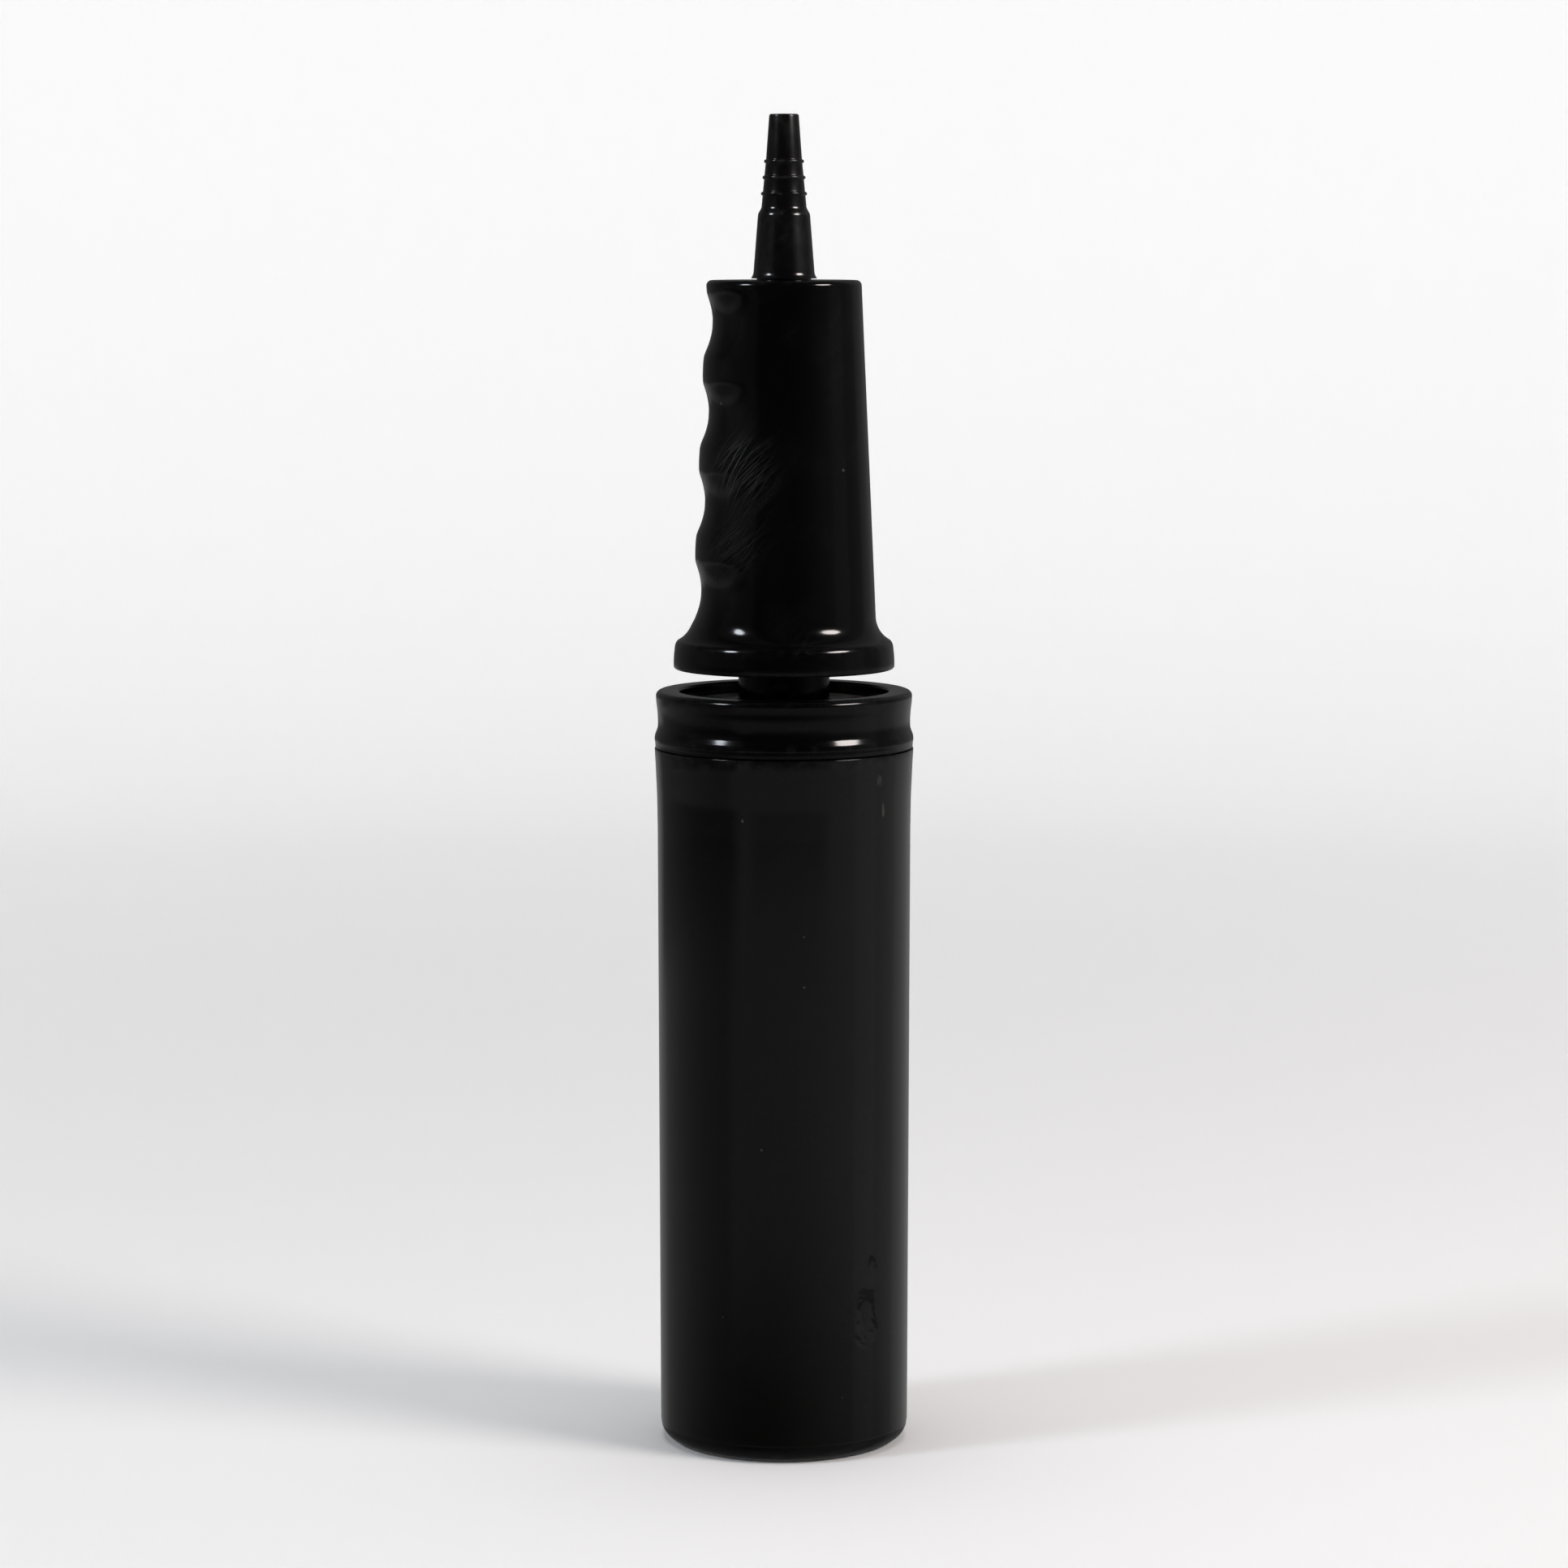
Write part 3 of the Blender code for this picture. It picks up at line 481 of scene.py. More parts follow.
class NodeBench:
    """Adds the nodes of one tree and joins them."""

    ROW_LENGTH = 8
    COLUMN_WIDTH = 220
    ROW_HEIGHT = 300

    def __init__(self, tree):
        self.tree = tree
        self.tree.nodes.clear()

    def add(self, kind, inputs=None, **settings):
        """Add a node, set its options, and set or join its inputs."""
        node = self.tree.nodes.new(kind)
        for name, value in settings.items():
            setattr(node, name, value)
        for name, value in (inputs or {}).items():
            self.feed(node.inputs[name], value)
        row, column = divmod(len(self.tree.nodes), self.ROW_LENGTH)
        node.location = (column * self.COLUMN_WIDTH, -row * self.ROW_HEIGHT)
        return node

    def feed(self, socket, value):
        """Join a socket to another, or set its value."""
        if isinstance(value, bpy.types.NodeSocket):
            self.tree.links.new(value, socket)
        else:
            socket.default_value = value

    def sum_up(self, operation, *values):
        """A Math node's result."""
        return self.add("ShaderNodeMath", dict(enumerate(values)), operation=operation).outputs[0]

    def times(self, first, second):
        """Two values multiplied."""
        return self.sum_up("MULTIPLY", first, second)

    def plus(self, first, second):
        """Two values added."""
        return self.sum_up("ADD", first, second)

    def minus(self, first, second):
        """The second value taken from the first."""
        return self.sum_up("SUBTRACT", first, second)

    def remap(self, value, low, high, to_low=0.0, to_high=1.0):
        """A value brought smoothly from one range to another."""
        ends = {"Value": value, "From Min": low, "From Max": high, "To Min": to_low, "To Max": to_high}
        return self.add("ShaderNodeMapRange", ends, interpolation_type="SMOOTHSTEP").outputs["Result"]

    def place(self):
        """The place on the piece, in metres."""
        return self.add("ShaderNodeTexCoord").outputs["Object"]

    def stored(self, attribute):
        """A value that is stored on the piece's points."""
        return self.add("ShaderNodeAttribute", attribute_name=attribute).outputs["Fac"]

    def unwrap(self, vector):
        """The angle round the pump from its front, and the height."""
        split = self.add("ShaderNodeSeparateXYZ", {0: vector}).outputs
        return self.sum_up("ARCTAN2", split["X"], self.times(split["Y"], -1.0)), split["Z"]

    def in_cells(self, vector, cell, rotation=(0.0, 0.0, 0.0)):
        """A place counted in turned cells of a given size."""
        fields = {"Vector": vector, "Scale": cell, "Rotation": rotation}
        return self.add("ShaderNodeMapping", fields, vector_type="TEXTURE").outputs["Vector"]

    def noise(self, vector, scale, detail=2.0):
        """Cloudy noise, about one half."""
        fields = {"Vector": vector, "Scale": scale, "Detail": detail}
        return self.add("ShaderNodeTexNoise", fields).outputs["Fac"]

    def blend(self, factor, first, second):
        """A mix of two colours, whose sockets on the Mix node are known by number."""
        fields = {"Factor": factor, 6: first, 7: second}
        return self.add("ShaderNodeMix", fields, data_type="RGBA").outputs[2]


def new_group(name, inputs, outputs):
    """Start a shader node group; inputs hold their defaults."""
    group = bpy.data.node_groups.new(name, "ShaderNodeTree")
    bench = NodeBench(group)
    for socket, value in inputs.items():
        made = group.interface.new_socket(socket, in_out="INPUT", socket_type="NodeSocketFloat")
        made.default_value = value
    for socket in outputs:
        group.interface.new_socket(socket, in_out="OUTPUT", socket_type="NodeSocketFloat")
    source = bench.add("NodeGroupInput").outputs
    drain = bench.add("NodeGroupOutput").inputs
    return bench, source, drain


def make_grain_group():
    """Fine moulded grain, and the slow unevenness of a moulded wall."""
    detail = 3.0
    lengthwise = (1.0, 1.0, 3.0)
    scales = {"Grain Scale": GRAIN_SCALE, "Flow Scale": 55.0}
    bench, source, drain = new_group("moulded_grain", scales, ("Grain", "Flow"))
    place = bench.place()
    bench.feed(drain["Grain"], bench.noise(place, source["Grain Scale"], detail))
    drawn = bench.in_cells(place, lengthwise)
    bench.feed(drain["Flow"], bench.noise(drawn, source["Flow Scale"], detail))
    return bench.tree


def make_scuff_group():
    """Hairline scuffs on a slant, gathered in patches and where hands rub."""
    hair_cell = (20.0 * MM, 0.2 * MM, 1.0)
    hair_slants = (36, 54)
    hair_range = (0.52, 0.66)
    patch_scale = 80.0
    patch_range = (0.52, 0.68)
    bend_scale = 40.0
    bend_height = 5.0 * MM
    wrap_radius = 17.0 * MM
    bench, source, drain = new_group("hairline_scuffs", {"Amount": 0.3, "Rub": 0.0}, ("Scuffs",))
    place = bench.place()
    turn, height = bench.unwrap(place)
    around = bench.times(turn, wrap_radius)
    bent = bench.plus(height, bench.times(bench.noise(place, bend_scale, detail=0.0), bend_height))
    wall = bench.add("ShaderNodeCombineXYZ", {"X": around, "Y": bent}).outputs[0]
    lines = 0.0
    for slant in hair_slants:
        cells = bench.in_cells(wall, hair_cell, (0.0, 0.0, math.radians(slant)))
        line = bench.remap(bench.noise(cells, 1.0, detail=1.5), *hair_range)
        lines = bench.sum_up("MAXIMUM", lines, line)
    patches = bench.remap(bench.noise(place, patch_scale), *patch_range)
    rubbed = bench.times(bench.stored(RUB_ATTRIBUTE), source["Rub"])
    spread = bench.plus(bench.times(patches, source["Amount"]), rubbed)
    bench.feed(drain["Scuffs"], bench.times(lines, spread))
    return bench.tree


def make_dust_group():
    """Scattered specks of dust."""
    bare_share = 0.86
    largest_speck = 0.085
    bench, source, drain = new_group("dust_specks", {"Amount": 0.5, "Scale": 260.0}, ("Dust",))
    cells = bench.add("ShaderNodeTexVoronoi", {"Vector": bench.place(), "Scale": source["Scale"]})
    chances = bench.add("ShaderNodeSeparateColor", {0: cells.outputs["Color"]}).outputs
    kept = bench.sum_up("GREATER_THAN", chances[0], bare_share)
    reach = bench.times(chances[1], largest_speck)
    speck = bench.sum_up("LESS_THAN", cells.outputs["Distance"], reach)
    bench.feed(drain["Dust"], bench.times(bench.times(kept, speck), source["Amount"]))
    return bench.tree


def make_edge_group():
    """Rubbed edges, broken up by noise."""
    break_scale = 620.0
    break_range = (0.42, 0.7)
    bench, source, drain = new_group("rubbed_edges", {"Amount": 0.5}, ("Wear",))
    broken = bench.remap(bench.noise(bench.place(), break_scale, detail=4.0), *break_range)
    worn = bench.times(bench.stored(WEAR_ATTRIBUTE), broken)
    bench.feed(drain["Wear"], bench.times(worn, source["Amount"]))
    return bench.tree


def make_nick_group():
    """One shallow ragged mark on the barrel, at an angle from the front and a height."""
    wall_radius = 24.3 * MM
    least_width = 0.1
    ragged_scale = 240.0
    raggedness = 1.8
    fade = (1.0, 0.1)
    ends = {"Angle": 0.0, "Height": 0.0, "Half Width": 3.0 * MM, "Half Height": 6.0 * MM, "Taper": 0.0}
    bench, source, drain = new_group("wall_nick", ends, ("Nick",))
    place = bench.place()
    turn, height = bench.unwrap(place)
    across = bench.times(bench.minus(turn, source["Angle"]), wall_radius)
    along = bench.sum_up("DIVIDE", bench.minus(height, source["Height"]), source["Half Height"])
    slim = bench.minus(1.0, bench.times(along, source["Taper"]))
    width = bench.times(source["Half Width"], bench.sum_up("MAXIMUM", slim, least_width))
    side = bench.sum_up("DIVIDE", across, width)
    reach = bench.plus(bench.sum_up("POWER", side, 2.0), bench.sum_up("POWER", along, 2.0))
    ragged = bench.times(bench.minus(bench.noise(place, ragged_scale), 0.5), raggedness)
    bench.feed(drain["Nick"], bench.remap(bench.plus(reach, ragged), *fade))
    return bench.tree


def shared_group(name, maker):
    """A node group that is built once."""
    return bpy.data.node_groups.get(name) or maker()


class Plastic:
    """A moulded plastic with grain and flow, and with marks laid over it."""

    PALER = 1.45
    TINT_FLOW = (0.35, 0.7)
    GLOSS_FLOW = (0.3, 0.7)

    def __init__(self, name, finish_name, specular):
        self.material = bpy.data.materials.new(name)
        self.material.use_nodes = True
        self.bench = NodeBench(self.material.node_tree)
        self.finish = bpy.context.scene.ball_pump.finish
        self.base = (*getattr(self.finish, finish_name + "_colour"), 1.0)
        self.roughness = getattr(self.finish, finish_name + "_roughness")
        self.shader = self.bench.add("ShaderNodeBsdfPrincipled", {"Specular IOR Level": specular})
        self.bench.add("ShaderNodeOutputMaterial", {"Surface": self.shader.outputs["BSDF"]})
        self.marks = []

    def effect(self, name, maker, **inputs):
        """Place a shared effect with this plastic's own values."""
        node = self.bench.add("ShaderNodeGroup", node_tree=shared_group(name, maker))
        for socket, value in inputs.items():
            self.bench.feed(node.inputs[socket.replace("_", " ")], value)
        return node.outputs

    def mark(self, tone, mask, rougher, rise=0.0):
        """Lay a mark over the plastic: its colour, its mask, its added roughness and its height."""
        self.marks.append((tone, mask, rougher, rise))

    def settle(self, grain_height, flow_share=0.16, grain_scale=GRAIN_SCALE, wave=0.0):
        """Join colour, roughness and relief to the shader."""
        bench = self.bench
        grain = self.effect("moulded_grain", make_grain_group, Grain_Scale=grain_scale)
        paler = tuple(min(1.0, value * self.PALER) for value in self.base)
        tint = bench.blend(bench.remap(grain["Flow"], *self.TINT_FLOW), self.base, paler)
        smoothest = self.roughness * (1 - flow_share)
        roughest = self.roughness * (1 + flow_share)
        uneven = bench.remap(grain["Flow"], *self.GLOSS_FLOW, smoothest, roughest)
        height = bench.plus(bench.times(grain["Grain"], grain_height), bench.times(grain["Flow"], wave))
        for tone, mask, rougher, rise in self.marks:
            tint = bench.blend(mask, tint, (*tone, 1.0))
            uneven = bench.plus(uneven, bench.times(mask, rougher))
            height = bench.plus(height, bench.times(mask, rise))
        bump = bench.add("ShaderNodeBump", {"Strength": 1.0, "Distance": 1.0, "Height": height})
        bench.feed(self.shader.inputs["Base Color"], tint)
        bench.feed(self.shader.inputs["Roughness"], uneven)
        bench.feed(self.shader.inputs["Normal"], bump.outputs["Normal"])
        return self.material


def add_handling(plastic, scuffs, dust, edges, rub=0.0):
    """Scuffs, dust and rubbed edges of a handled piece."""
    finish = plastic.finish
    hairlines = plastic.effect("hairline_scuffs", make_scuff_group, Amount=scuffs, Rub=rub)
    plastic.mark(finish.wear_colour, hairlines["Scuffs"], rougher=0.3, rise=-3.0 * MICRON)
    if edges:
        rubbed = plastic.effect("rubbed_edges", make_edge_group, Amount=edges)
        plastic.mark(finish.wear_colour, rubbed["Wear"], rougher=0.08)
    specks = plastic.effect("dust_specks", make_dust_group, Amount=dust)
    plastic.mark(finish.dust_colour, specks["Dust"], rougher=0.5, rise=10.0 * MICRON)


def barrel_nick(plastic, degrees, height, half_width, half_height, taper):
    """The mask of one mark on the barrel's wall, its sizes in millimetres."""
    return plastic.effect("wall_nick", make_nick_group, Angle=math.radians(degrees), Height=height * MM,
                          Half_Width=half_width * MM, Half_Height=half_height * MM, Taper=taper)["Nick"]


def barrel_material():
    """Satin charcoal plastic with a shallow dent low on the right and small scrapes near the mouth."""
    # Degrees from the front, height, half width, half height and taper, and a dent's depth
    dents = ((41, 27.0, 3.2, 6.2, 0.0, -200.0 * MICRON), (44, 36.5, 1.7, 3.0, 0.3, -100.0 * MICRON))
    scrapes = ((47, 130.2, 0.9, 2.2, 0.5), (50, 124.8, 0.6, 1.8, 0.5))
    scrape_colour = (0.05, 0.05, 0.048)
    break_scale = 420.0
    break_range = (0.4, 0.66, 0.0, 0.6)
    plastic = Plastic("satin_barrel_plastic", "barrel", specular=0.45)
    bench = plastic.bench
    add_handling(plastic, scuffs=0.03, dust=0.35, edges=0.2)
    for *place, rise in dents:
        plastic.mark(plastic.finish.barrel_colour, barrel_nick(plastic, *place), rougher=-0.05, rise=rise)
    broken = bench.remap(bench.noise(bench.place(), break_scale, detail=4.0), *break_range)
    for place in scrapes:
        smear = bench.times(barrel_nick(plastic, *place), broken)
        plastic.mark(scrape_colour, smear, rougher=0.2, rise=-6.0 * MICRON)
    return plastic.settle(grain_height=1.0 * MICRON, wave=100.0 * MICRON)


def gloss_material():
    """Deep black glossy plastic of the handle and the collar."""
    plastic = Plastic("gloss_black_plastic", "gloss", specular=0.36)
    add_handling(plastic, scuffs=0.1, dust=0.4, edges=0.12, rub=0.9)
    return plastic.settle(grain_height=2.4 * MICRON)


def nozzle_material():
    """Black glossy plastic of the nozzle, rubbed on its rings."""
    plastic = Plastic("nozzle_plastic", "nozzle", specular=0.5)
    add_handling(plastic, scuffs=0.3, dust=0.25, edges=0.6)
    return plastic.settle(grain_height=1.2 * MICRON)


def rod_material():
    """Polished black plastic of the rod, faintly streaked lengthwise by the seal."""
    streak_cell = (1.8 * MM, 1.8 * MM, 120.0 * MM)
    streak_range = (0.5, 0.8, 0.0, 0.05)
    plastic = Plastic("polished_rod_plastic", "rod", specular=0.2)
    bench = plastic.bench
    streaks = bench.noise(bench.in_cells(bench.place(), streak_cell), 1.0, detail=0.5)
    plastic.mark(plastic.finish.wear_colour, bench.remap(streaks, *streak_range), rougher=0.06)
    add_handling(plastic, scuffs=0.0, dust=0.1, edges=0.2)
    return plastic.settle(grain_height=0.0)


def guide_material():
    """Plain black plastic of the rod guide and the base plate, the guide with a film of dust."""
    film_share = 0.5
    plastic = Plastic("guide_plastic", "guide", specular=0.5)
    film = plastic.bench.times(plastic.bench.stored(FILM_ATTRIBUTE), film_share)
    plastic.mark(plastic.finish.film_colour, film, rougher=0.2)
    add_handling(plastic, scuffs=0.3, dust=0.8, edges=0.4)
    return plastic.settle(grain_height=3.0 * MICRON)


def inner_material():
    """Grey plastic of the inner mouldings."""
    plastic = Plastic("inner_plastic", "inner", specular=0.5)
    add_handling(plastic, scuffs=0.2, dust=0.0, edges=0.0)
    return plastic.settle(grain_height=4.0 * MICRON)


def rubber_material():
    """Black rubber of the seals, with a fine bloom."""
    plastic = Plastic("seal_rubber", "rubber", specular=0.4)
    add_handling(plastic, scuffs=0.0, dust=0.3, edges=0.0)
    return plastic.settle(grain_height=6.0 * MICRON, flow_share=0.1, grain_scale=3200.0)


# Operators

class BALLPUMP_OT_barrel(bpy.types.Operator):
    """Model the barrel with its flared mouth, rounded foot and recessed underside"""
    bl_idname = "ball_pump.barrel"
    bl_label = "Barrel"

    BORE_ROUND = 1.0 * MM
    FLARE_ROUND = 3.0 * MM
    LINE_ROUND = 0.05 * MM
    LINE_GAP = 0.3 * MM
    MOUTH_STEP = 0.2 * MM

    def execute(self, context):
        sizes = context.scene.ball_pump.barrel
        line_height = sizes.foot_round + self.LINE_GAP
        lower_radius = sizes.foot_radius - sizes.foot_line
        corners = [
            (0, sizes.floor),
            (sizes.bore, sizes.floor, self.BORE_ROUND),
            (sizes.bore, sizes.mouth_bottom),
            (sizes.mouth, sizes.mouth_bottom + self.MOUTH_STEP),
            (sizes.mouth, BARREL_TOP, FINE_ROUND),
            (BARREL_TOP_RADIUS, BARREL_TOP, CRISP_ROUND),
            (sizes.flare_radius, sizes.flare_height, self.FLARE_ROUND),
            (sizes.draft_radius, sizes.draft_height, self.FLARE_ROUND),
            (sizes.foot_radius, line_height + sizes.foot_line, self.LINE_ROUND),
            (lower_radius, line_height),
            (lower_radius, 0, sizes.foot_round),
            (sizes.ring_inner, 0, SOFT_ROUND),
            (sizes.ring_inner, sizes.recess, FULL_ROUND),
            (0, sizes.recess),
        ]
        barrel = turn_piece("barrel_shell", corners, closed=False)
        upright_holes(barrel, sizes.holes, sizes.hole_pitch, sizes.hole_radius, sizes.recess, sizes.floor)
        paint_wear(barrel, [(BARREL_TOP_RADIUS, BARREL_TOP), (lower_radius - MM, MM)], reach=0.9 * MM)
        dress(barrel, barrel_material(), "barrel", "barrel")
        return {"FINISHED"}


class BALLPUMP_OT_collar(bpy.types.Operator):
    """Model the collar with its rim, waist, bead and skirt"""
    bl_idname = "ball_pump.collar"
    bl_label = "Collar"

    RIM_HEIGHT = 2.2 * MM
    RIM_DRAFT = 0.05 * MM
    RIM_FOOT_ROUND = 0.9 * MM
    WAIST_ROUND = 1.6 * MM

    def execute(self, context):
        sizes = context.scene.ball_pump.collar
        rim_top = RIM_TOP - sizes.rim_drop
        corners = [
            (sizes.opening, rim_top, FULL_ROUND),
            (sizes.rim_radius, rim_top, sizes.rim_round),
            (sizes.rim_radius - self.RIM_DRAFT, RIM_TOP - self.RIM_HEIGHT, self.RIM_FOOT_ROUND),
            (sizes.waist_radius, sizes.waist_height, self.WAIST_ROUND),
            (sizes.bead_top_radius, sizes.bead_top, SOFT_ROUND),
            (BEAD_RADIUS, sizes.bead_height, sizes.bead_round),
            (sizes.seam_radius, sizes.bead_bottom, EASED_ROUND),
            (sizes.seam_radius, BARREL_TOP + sizes.seam, FAINT_ROUND),
            (sizes.skirt, BARREL_TOP + sizes.seam),
            (sizes.skirt, sizes.groove_high, CRISP_ROUND),
            (sizes.groove_radius, sizes.groove_high),
            (sizes.groove_radius, sizes.groove_low),
            (sizes.skirt, sizes.groove_low, CRISP_ROUND),
            (sizes.skirt, COLLAR_BOTTOM, SOFT_ROUND),
            (sizes.inner, COLLAR_BOTTOM, EASED_ROUND),
            (sizes.inner, sizes.ledge, FINE_ROUND),
            (sizes.opening, sizes.ledge),
        ]
        collar = turn_piece("collar_ring", corners)
        edges = [(sizes.rim_radius, rim_top), (sizes.opening, rim_top), (BEAD_RADIUS, sizes.bead_height)]
        paint_wear(collar, edges, reach=0.8 * MM)
        dress(collar, gloss_material(), "barrel", "collar_cap")
        return {"FINISHED"}


class BALLPUMP_OT_rod_guide(bpy.types.Operator):
    """Model the rod guide: a plate with air holes, a lip round the rod and a hub below"""
    bl_idname = "ball_pump.rod_guide"
    bl_label = "Rod Guide"

    def execute(self, context):
        sizes = context.scene.ball_pump.collar
        plate_bottom = GUIDE_TOP - sizes.guide_plate
        lip_top = GUIDE_TOP + sizes.guide_lip_rise
        corners = [
            (sizes.guide_hole, lip_top, FINE_ROUND),
            (sizes.guide_lip, lip_top, FINE_ROUND),
            (sizes.guide_lip, GUIDE_TOP, EASED_ROUND),
            (GUIDE_RADIUS, GUIDE_TOP, EASED_ROUND),
            (GUIDE_RADIUS, plate_bottom, FINE_ROUND),
            (sizes.guide_hub, plate_bottom, FULL_ROUND),
            (sizes.guide_hub, GUIDE_BOTTOM, EASED_ROUND),
            (sizes.guide_seal, GUIDE_BOTTOM, FINE_ROUND),
            (sizes.guide_seal, sizes.guide_seal_top),
            (sizes.guide_hole, sizes.guide_seal_top, FINE_ROUND),
        ]
        guide = turn_piece("guide_plate", corners)
        upright_holes(guide, sizes.holes, sizes.hole_pitch, sizes.hole_radius, plate_bottom, GUIDE_TOP)
        paint_wear(guide, [(sizes.guide_hole, lip_top)], reach=0.6 * MM)
        paint_film(guide)
        dress(guide, guide_material(), "barrel", "rod_guide")
        return {"FINISHED"}


class BALLPUMP_OT_rod(bpy.types.Operator):
    """Model the hollow rod with its air ports"""
    bl_idname = "ball_pump.rod"
    bl_label = "Rod"

    # Length of a port's cutter, in thicknesses of the wall
    PORT_REACH = 4

    def execute(self, context):
        sizes = context.scene.ball_pump.handle
        corners = [
            (sizes.rod_inner, ROD_TOP, EASED_ROUND),
            (ROD_RADIUS, ROD_TOP, EASED_ROUND),
            (ROD_RADIUS, ROD_BOTTOM, EASED_ROUND),
            (sizes.rod_inner, ROD_BOTTOM, EASED_ROUND),
        ]
        rod = turn_piece("plunger_rod", corners, THIN_STEPS)
        places = []
        turns = []
        for index in range(sizes.ports):
            turn = math.tau * (index + 0.5) / sizes.ports
            places.append((ROD_RADIUS * math.cos(turn), ROD_RADIUS * math.sin(turn), sizes.port_height))
            turns.append((0, math.radians(90), turn))
        cut_holes(rod, places, sizes.port_radius, (ROD_RADIUS - sizes.rod_inner) * self.PORT_REACH, turns)
        paint_wear(rod, [(ROD_RADIUS, ROD_BOTTOM), (ROD_RADIUS, ROD_TOP)], reach=0.8 * MM)
        dress(rod, rod_material(), "plunger", "rod_tube")
        return {"FINISHED"}


class BALLPUMP_OT_handle(bpy.types.Operator):
    """Model the grip with its flange and finger grooves, and the plate that closes it"""
    bl_idname = "ball_pump.handle"
    bl_label = "Handle"

    CONE_CUTS = 150
    COVE_SEGMENTS = 20
    DRAFT_ROUND = 0.9 * MM
    SOFTNESS = 0.25
    RUB_ANGLE = math.radians(58)
    RUB_SPREAD = math.radians(20)
    # Height, reach and strength
    RUB_PATCHES = ((188.5 * MM, 6.0 * MM, 1.0), (175.0 * MM, 5.0 * MM, 0.5))

    def groove_share(self, sizes, point):
        """How deep a point of the cone is pressed in, from 0 to 1."""
        nearest = round((point.z - sizes.groove_first) / sizes.groove_pitch)
        nearest = min(max(nearest, 0), sizes.grooves - 1)
        middle = sizes.groove_first + nearest * sizes.groove_pitch
        offset = (point.z - middle) / (sizes.groove_width / 2)
        rise = 1 - offset * offset
        along = (rise + math.hypot(rise, self.SOFTNESS)) / 2
        turn = abs(math.atan2(point.y, -point.x))
        fade = (sizes.groove_end - turn) / (sizes.groove_end - sizes.groove_full)
        fade = min(max(fade, 0.0), 1.0)
        return min(along, 1.0) * fade * fade * (3 - 2 * fade)

    def press_grooves(self, grip, sizes):
        """Weigh the grip's outer points by the grooves and press them in."""
        group = grip.vertex_groups.new(name=GROOVE_GROUP)
        cone_top = GRIP_TOP - sizes.top_round - MERGE
        for point in grip.data.vertices:
            outside = math.hypot(point.co.x, point.co.y) > sizes.bore + MM
            if outside and sizes.shoulder_height + MM < point.co.z < cone_top:
                group.add([point.index], self.groove_share(sizes, point.co), "REPLACE")
        apply_modifier(grip, "DISPLACE", vertex_group=group.name, mid_level=0.0,
                       strength=-sizes.groove_depth)
        grip.vertex_groups.clear()

    def paint_rub(self, grip):
        """Store where fingers have rubbed: two patches beside the grooves, at the front and back."""
        rub = grip.data.attributes.new(RUB_ATTRIBUTE, "FLOAT", "POINT")
        for point in grip.data.vertices:
            turn = abs(math.atan2(point.co.y, -point.co.x))
            beside = math.exp(-((turn - self.RUB_ANGLE) / self.RUB_SPREAD) ** 2)
            patches = 0.0
            for height, reach, strength in self.RUB_PATCHES:
                patches += strength * math.exp(-((point.co.z - height) / reach) ** 2)
            rub.data[point.index].value = beside * patches

    def grip(self, sizes):
        """The grip shell."""
        inward = 180
        cove_end = inward + math.degrees(sizes.cove_sweep)
        cove_centre = sizes.foot_radius + sizes.cove_round
        cove = arc(cove_centre, sizes.foot_height, sizes.cove_round, inward, cove_end, self.COVE_SEGMENTS)
        underside = FLANGE_BOTTOM + sizes.flange_lift
        corners = [
            (sizes.nozzle_hole, GRIP_TOP, FINE_ROUND),
            (sizes.top_radius, GRIP_TOP, sizes.top_round),
            *cove,
            (sizes.shoulder_radius, sizes.shoulder_height, sizes.shoulder_round),
            (FLANGE_RADIUS, sizes.draft_height, self.DRAFT_ROUND),
            (FLANGE_RADIUS, underside, FULL_ROUND),
            (sizes.recess_radius, underside, FINE_ROUND),
            (sizes.recess_radius, sizes.recess_top),
            (sizes.bore, sizes.recess_top, FINE_ROUND),
            (sizes.bore, sizes.ceiling),
            (sizes.boss, sizes.ceiling),
            (sizes.boss, SPIGOT_BOTTOM, EASED_ROUND),
            (sizes.nozzle_hole, SPIGOT_BOTTOM, FINE_ROUND),
        ]
        grip = start_outline("grip_shell")
        draw_outline(grip, corners, True)
        self.divide_cone(grip, sizes)
        spin_outline(grip, FINE_STEPS)
        self.press_grooves(grip, sizes)
        shoulder = (sizes.shoulder_radius, sizes.shoulder_height)
        edges = [(sizes.top_radius, GRIP_TOP), shoulder, (FLANGE_RADIUS, underside)]
        paint_wear(grip, edges, reach=0.7 * MM)
        self.paint_rub(grip)
        return grip

    def divide_cone(self, grip, sizes):
        """Cut the cone's long edge into short lengths for the grooves."""
        mesh = bmesh.from_edit_mesh(grip.data)
        longest = max((edge for edge in mesh.edges if edge.verts[0].co.x > sizes.bore + MM),
                      key=lambda edge: edge.calc_length())
        ends = [point.co.copy() for point in longest.verts]
        divide_edge(grip, (ends[0].x, ends[0].z), (ends[1].x, ends[1].z), self.CONE_CUTS)

    def base(self, sizes):
        """The plate and sleeve under the grip."""
        underside = BASE_BOTTOM + sizes.flange_lift
        corners = [
            (sizes.base_hole, BASE_TOP, FINE_ROUND),
            (sizes.base_sleeve, BASE_TOP, EASED_ROUND),
            (sizes.base_sleeve, sizes.base_plate_top, FULL_ROUND),
            (BASE_RADIUS, sizes.base_plate_top, FINE_ROUND),
            (BASE_RADIUS, underside, EASED_ROUND),
            (sizes.base_hole, underside, EASED_ROUND),
        ]
        base = turn_piece("grip_base", corners)
        paint_wear(base, [(BASE_RADIUS, underside), (sizes.base_hole, underside)], reach=0.6 * MM)
        return base

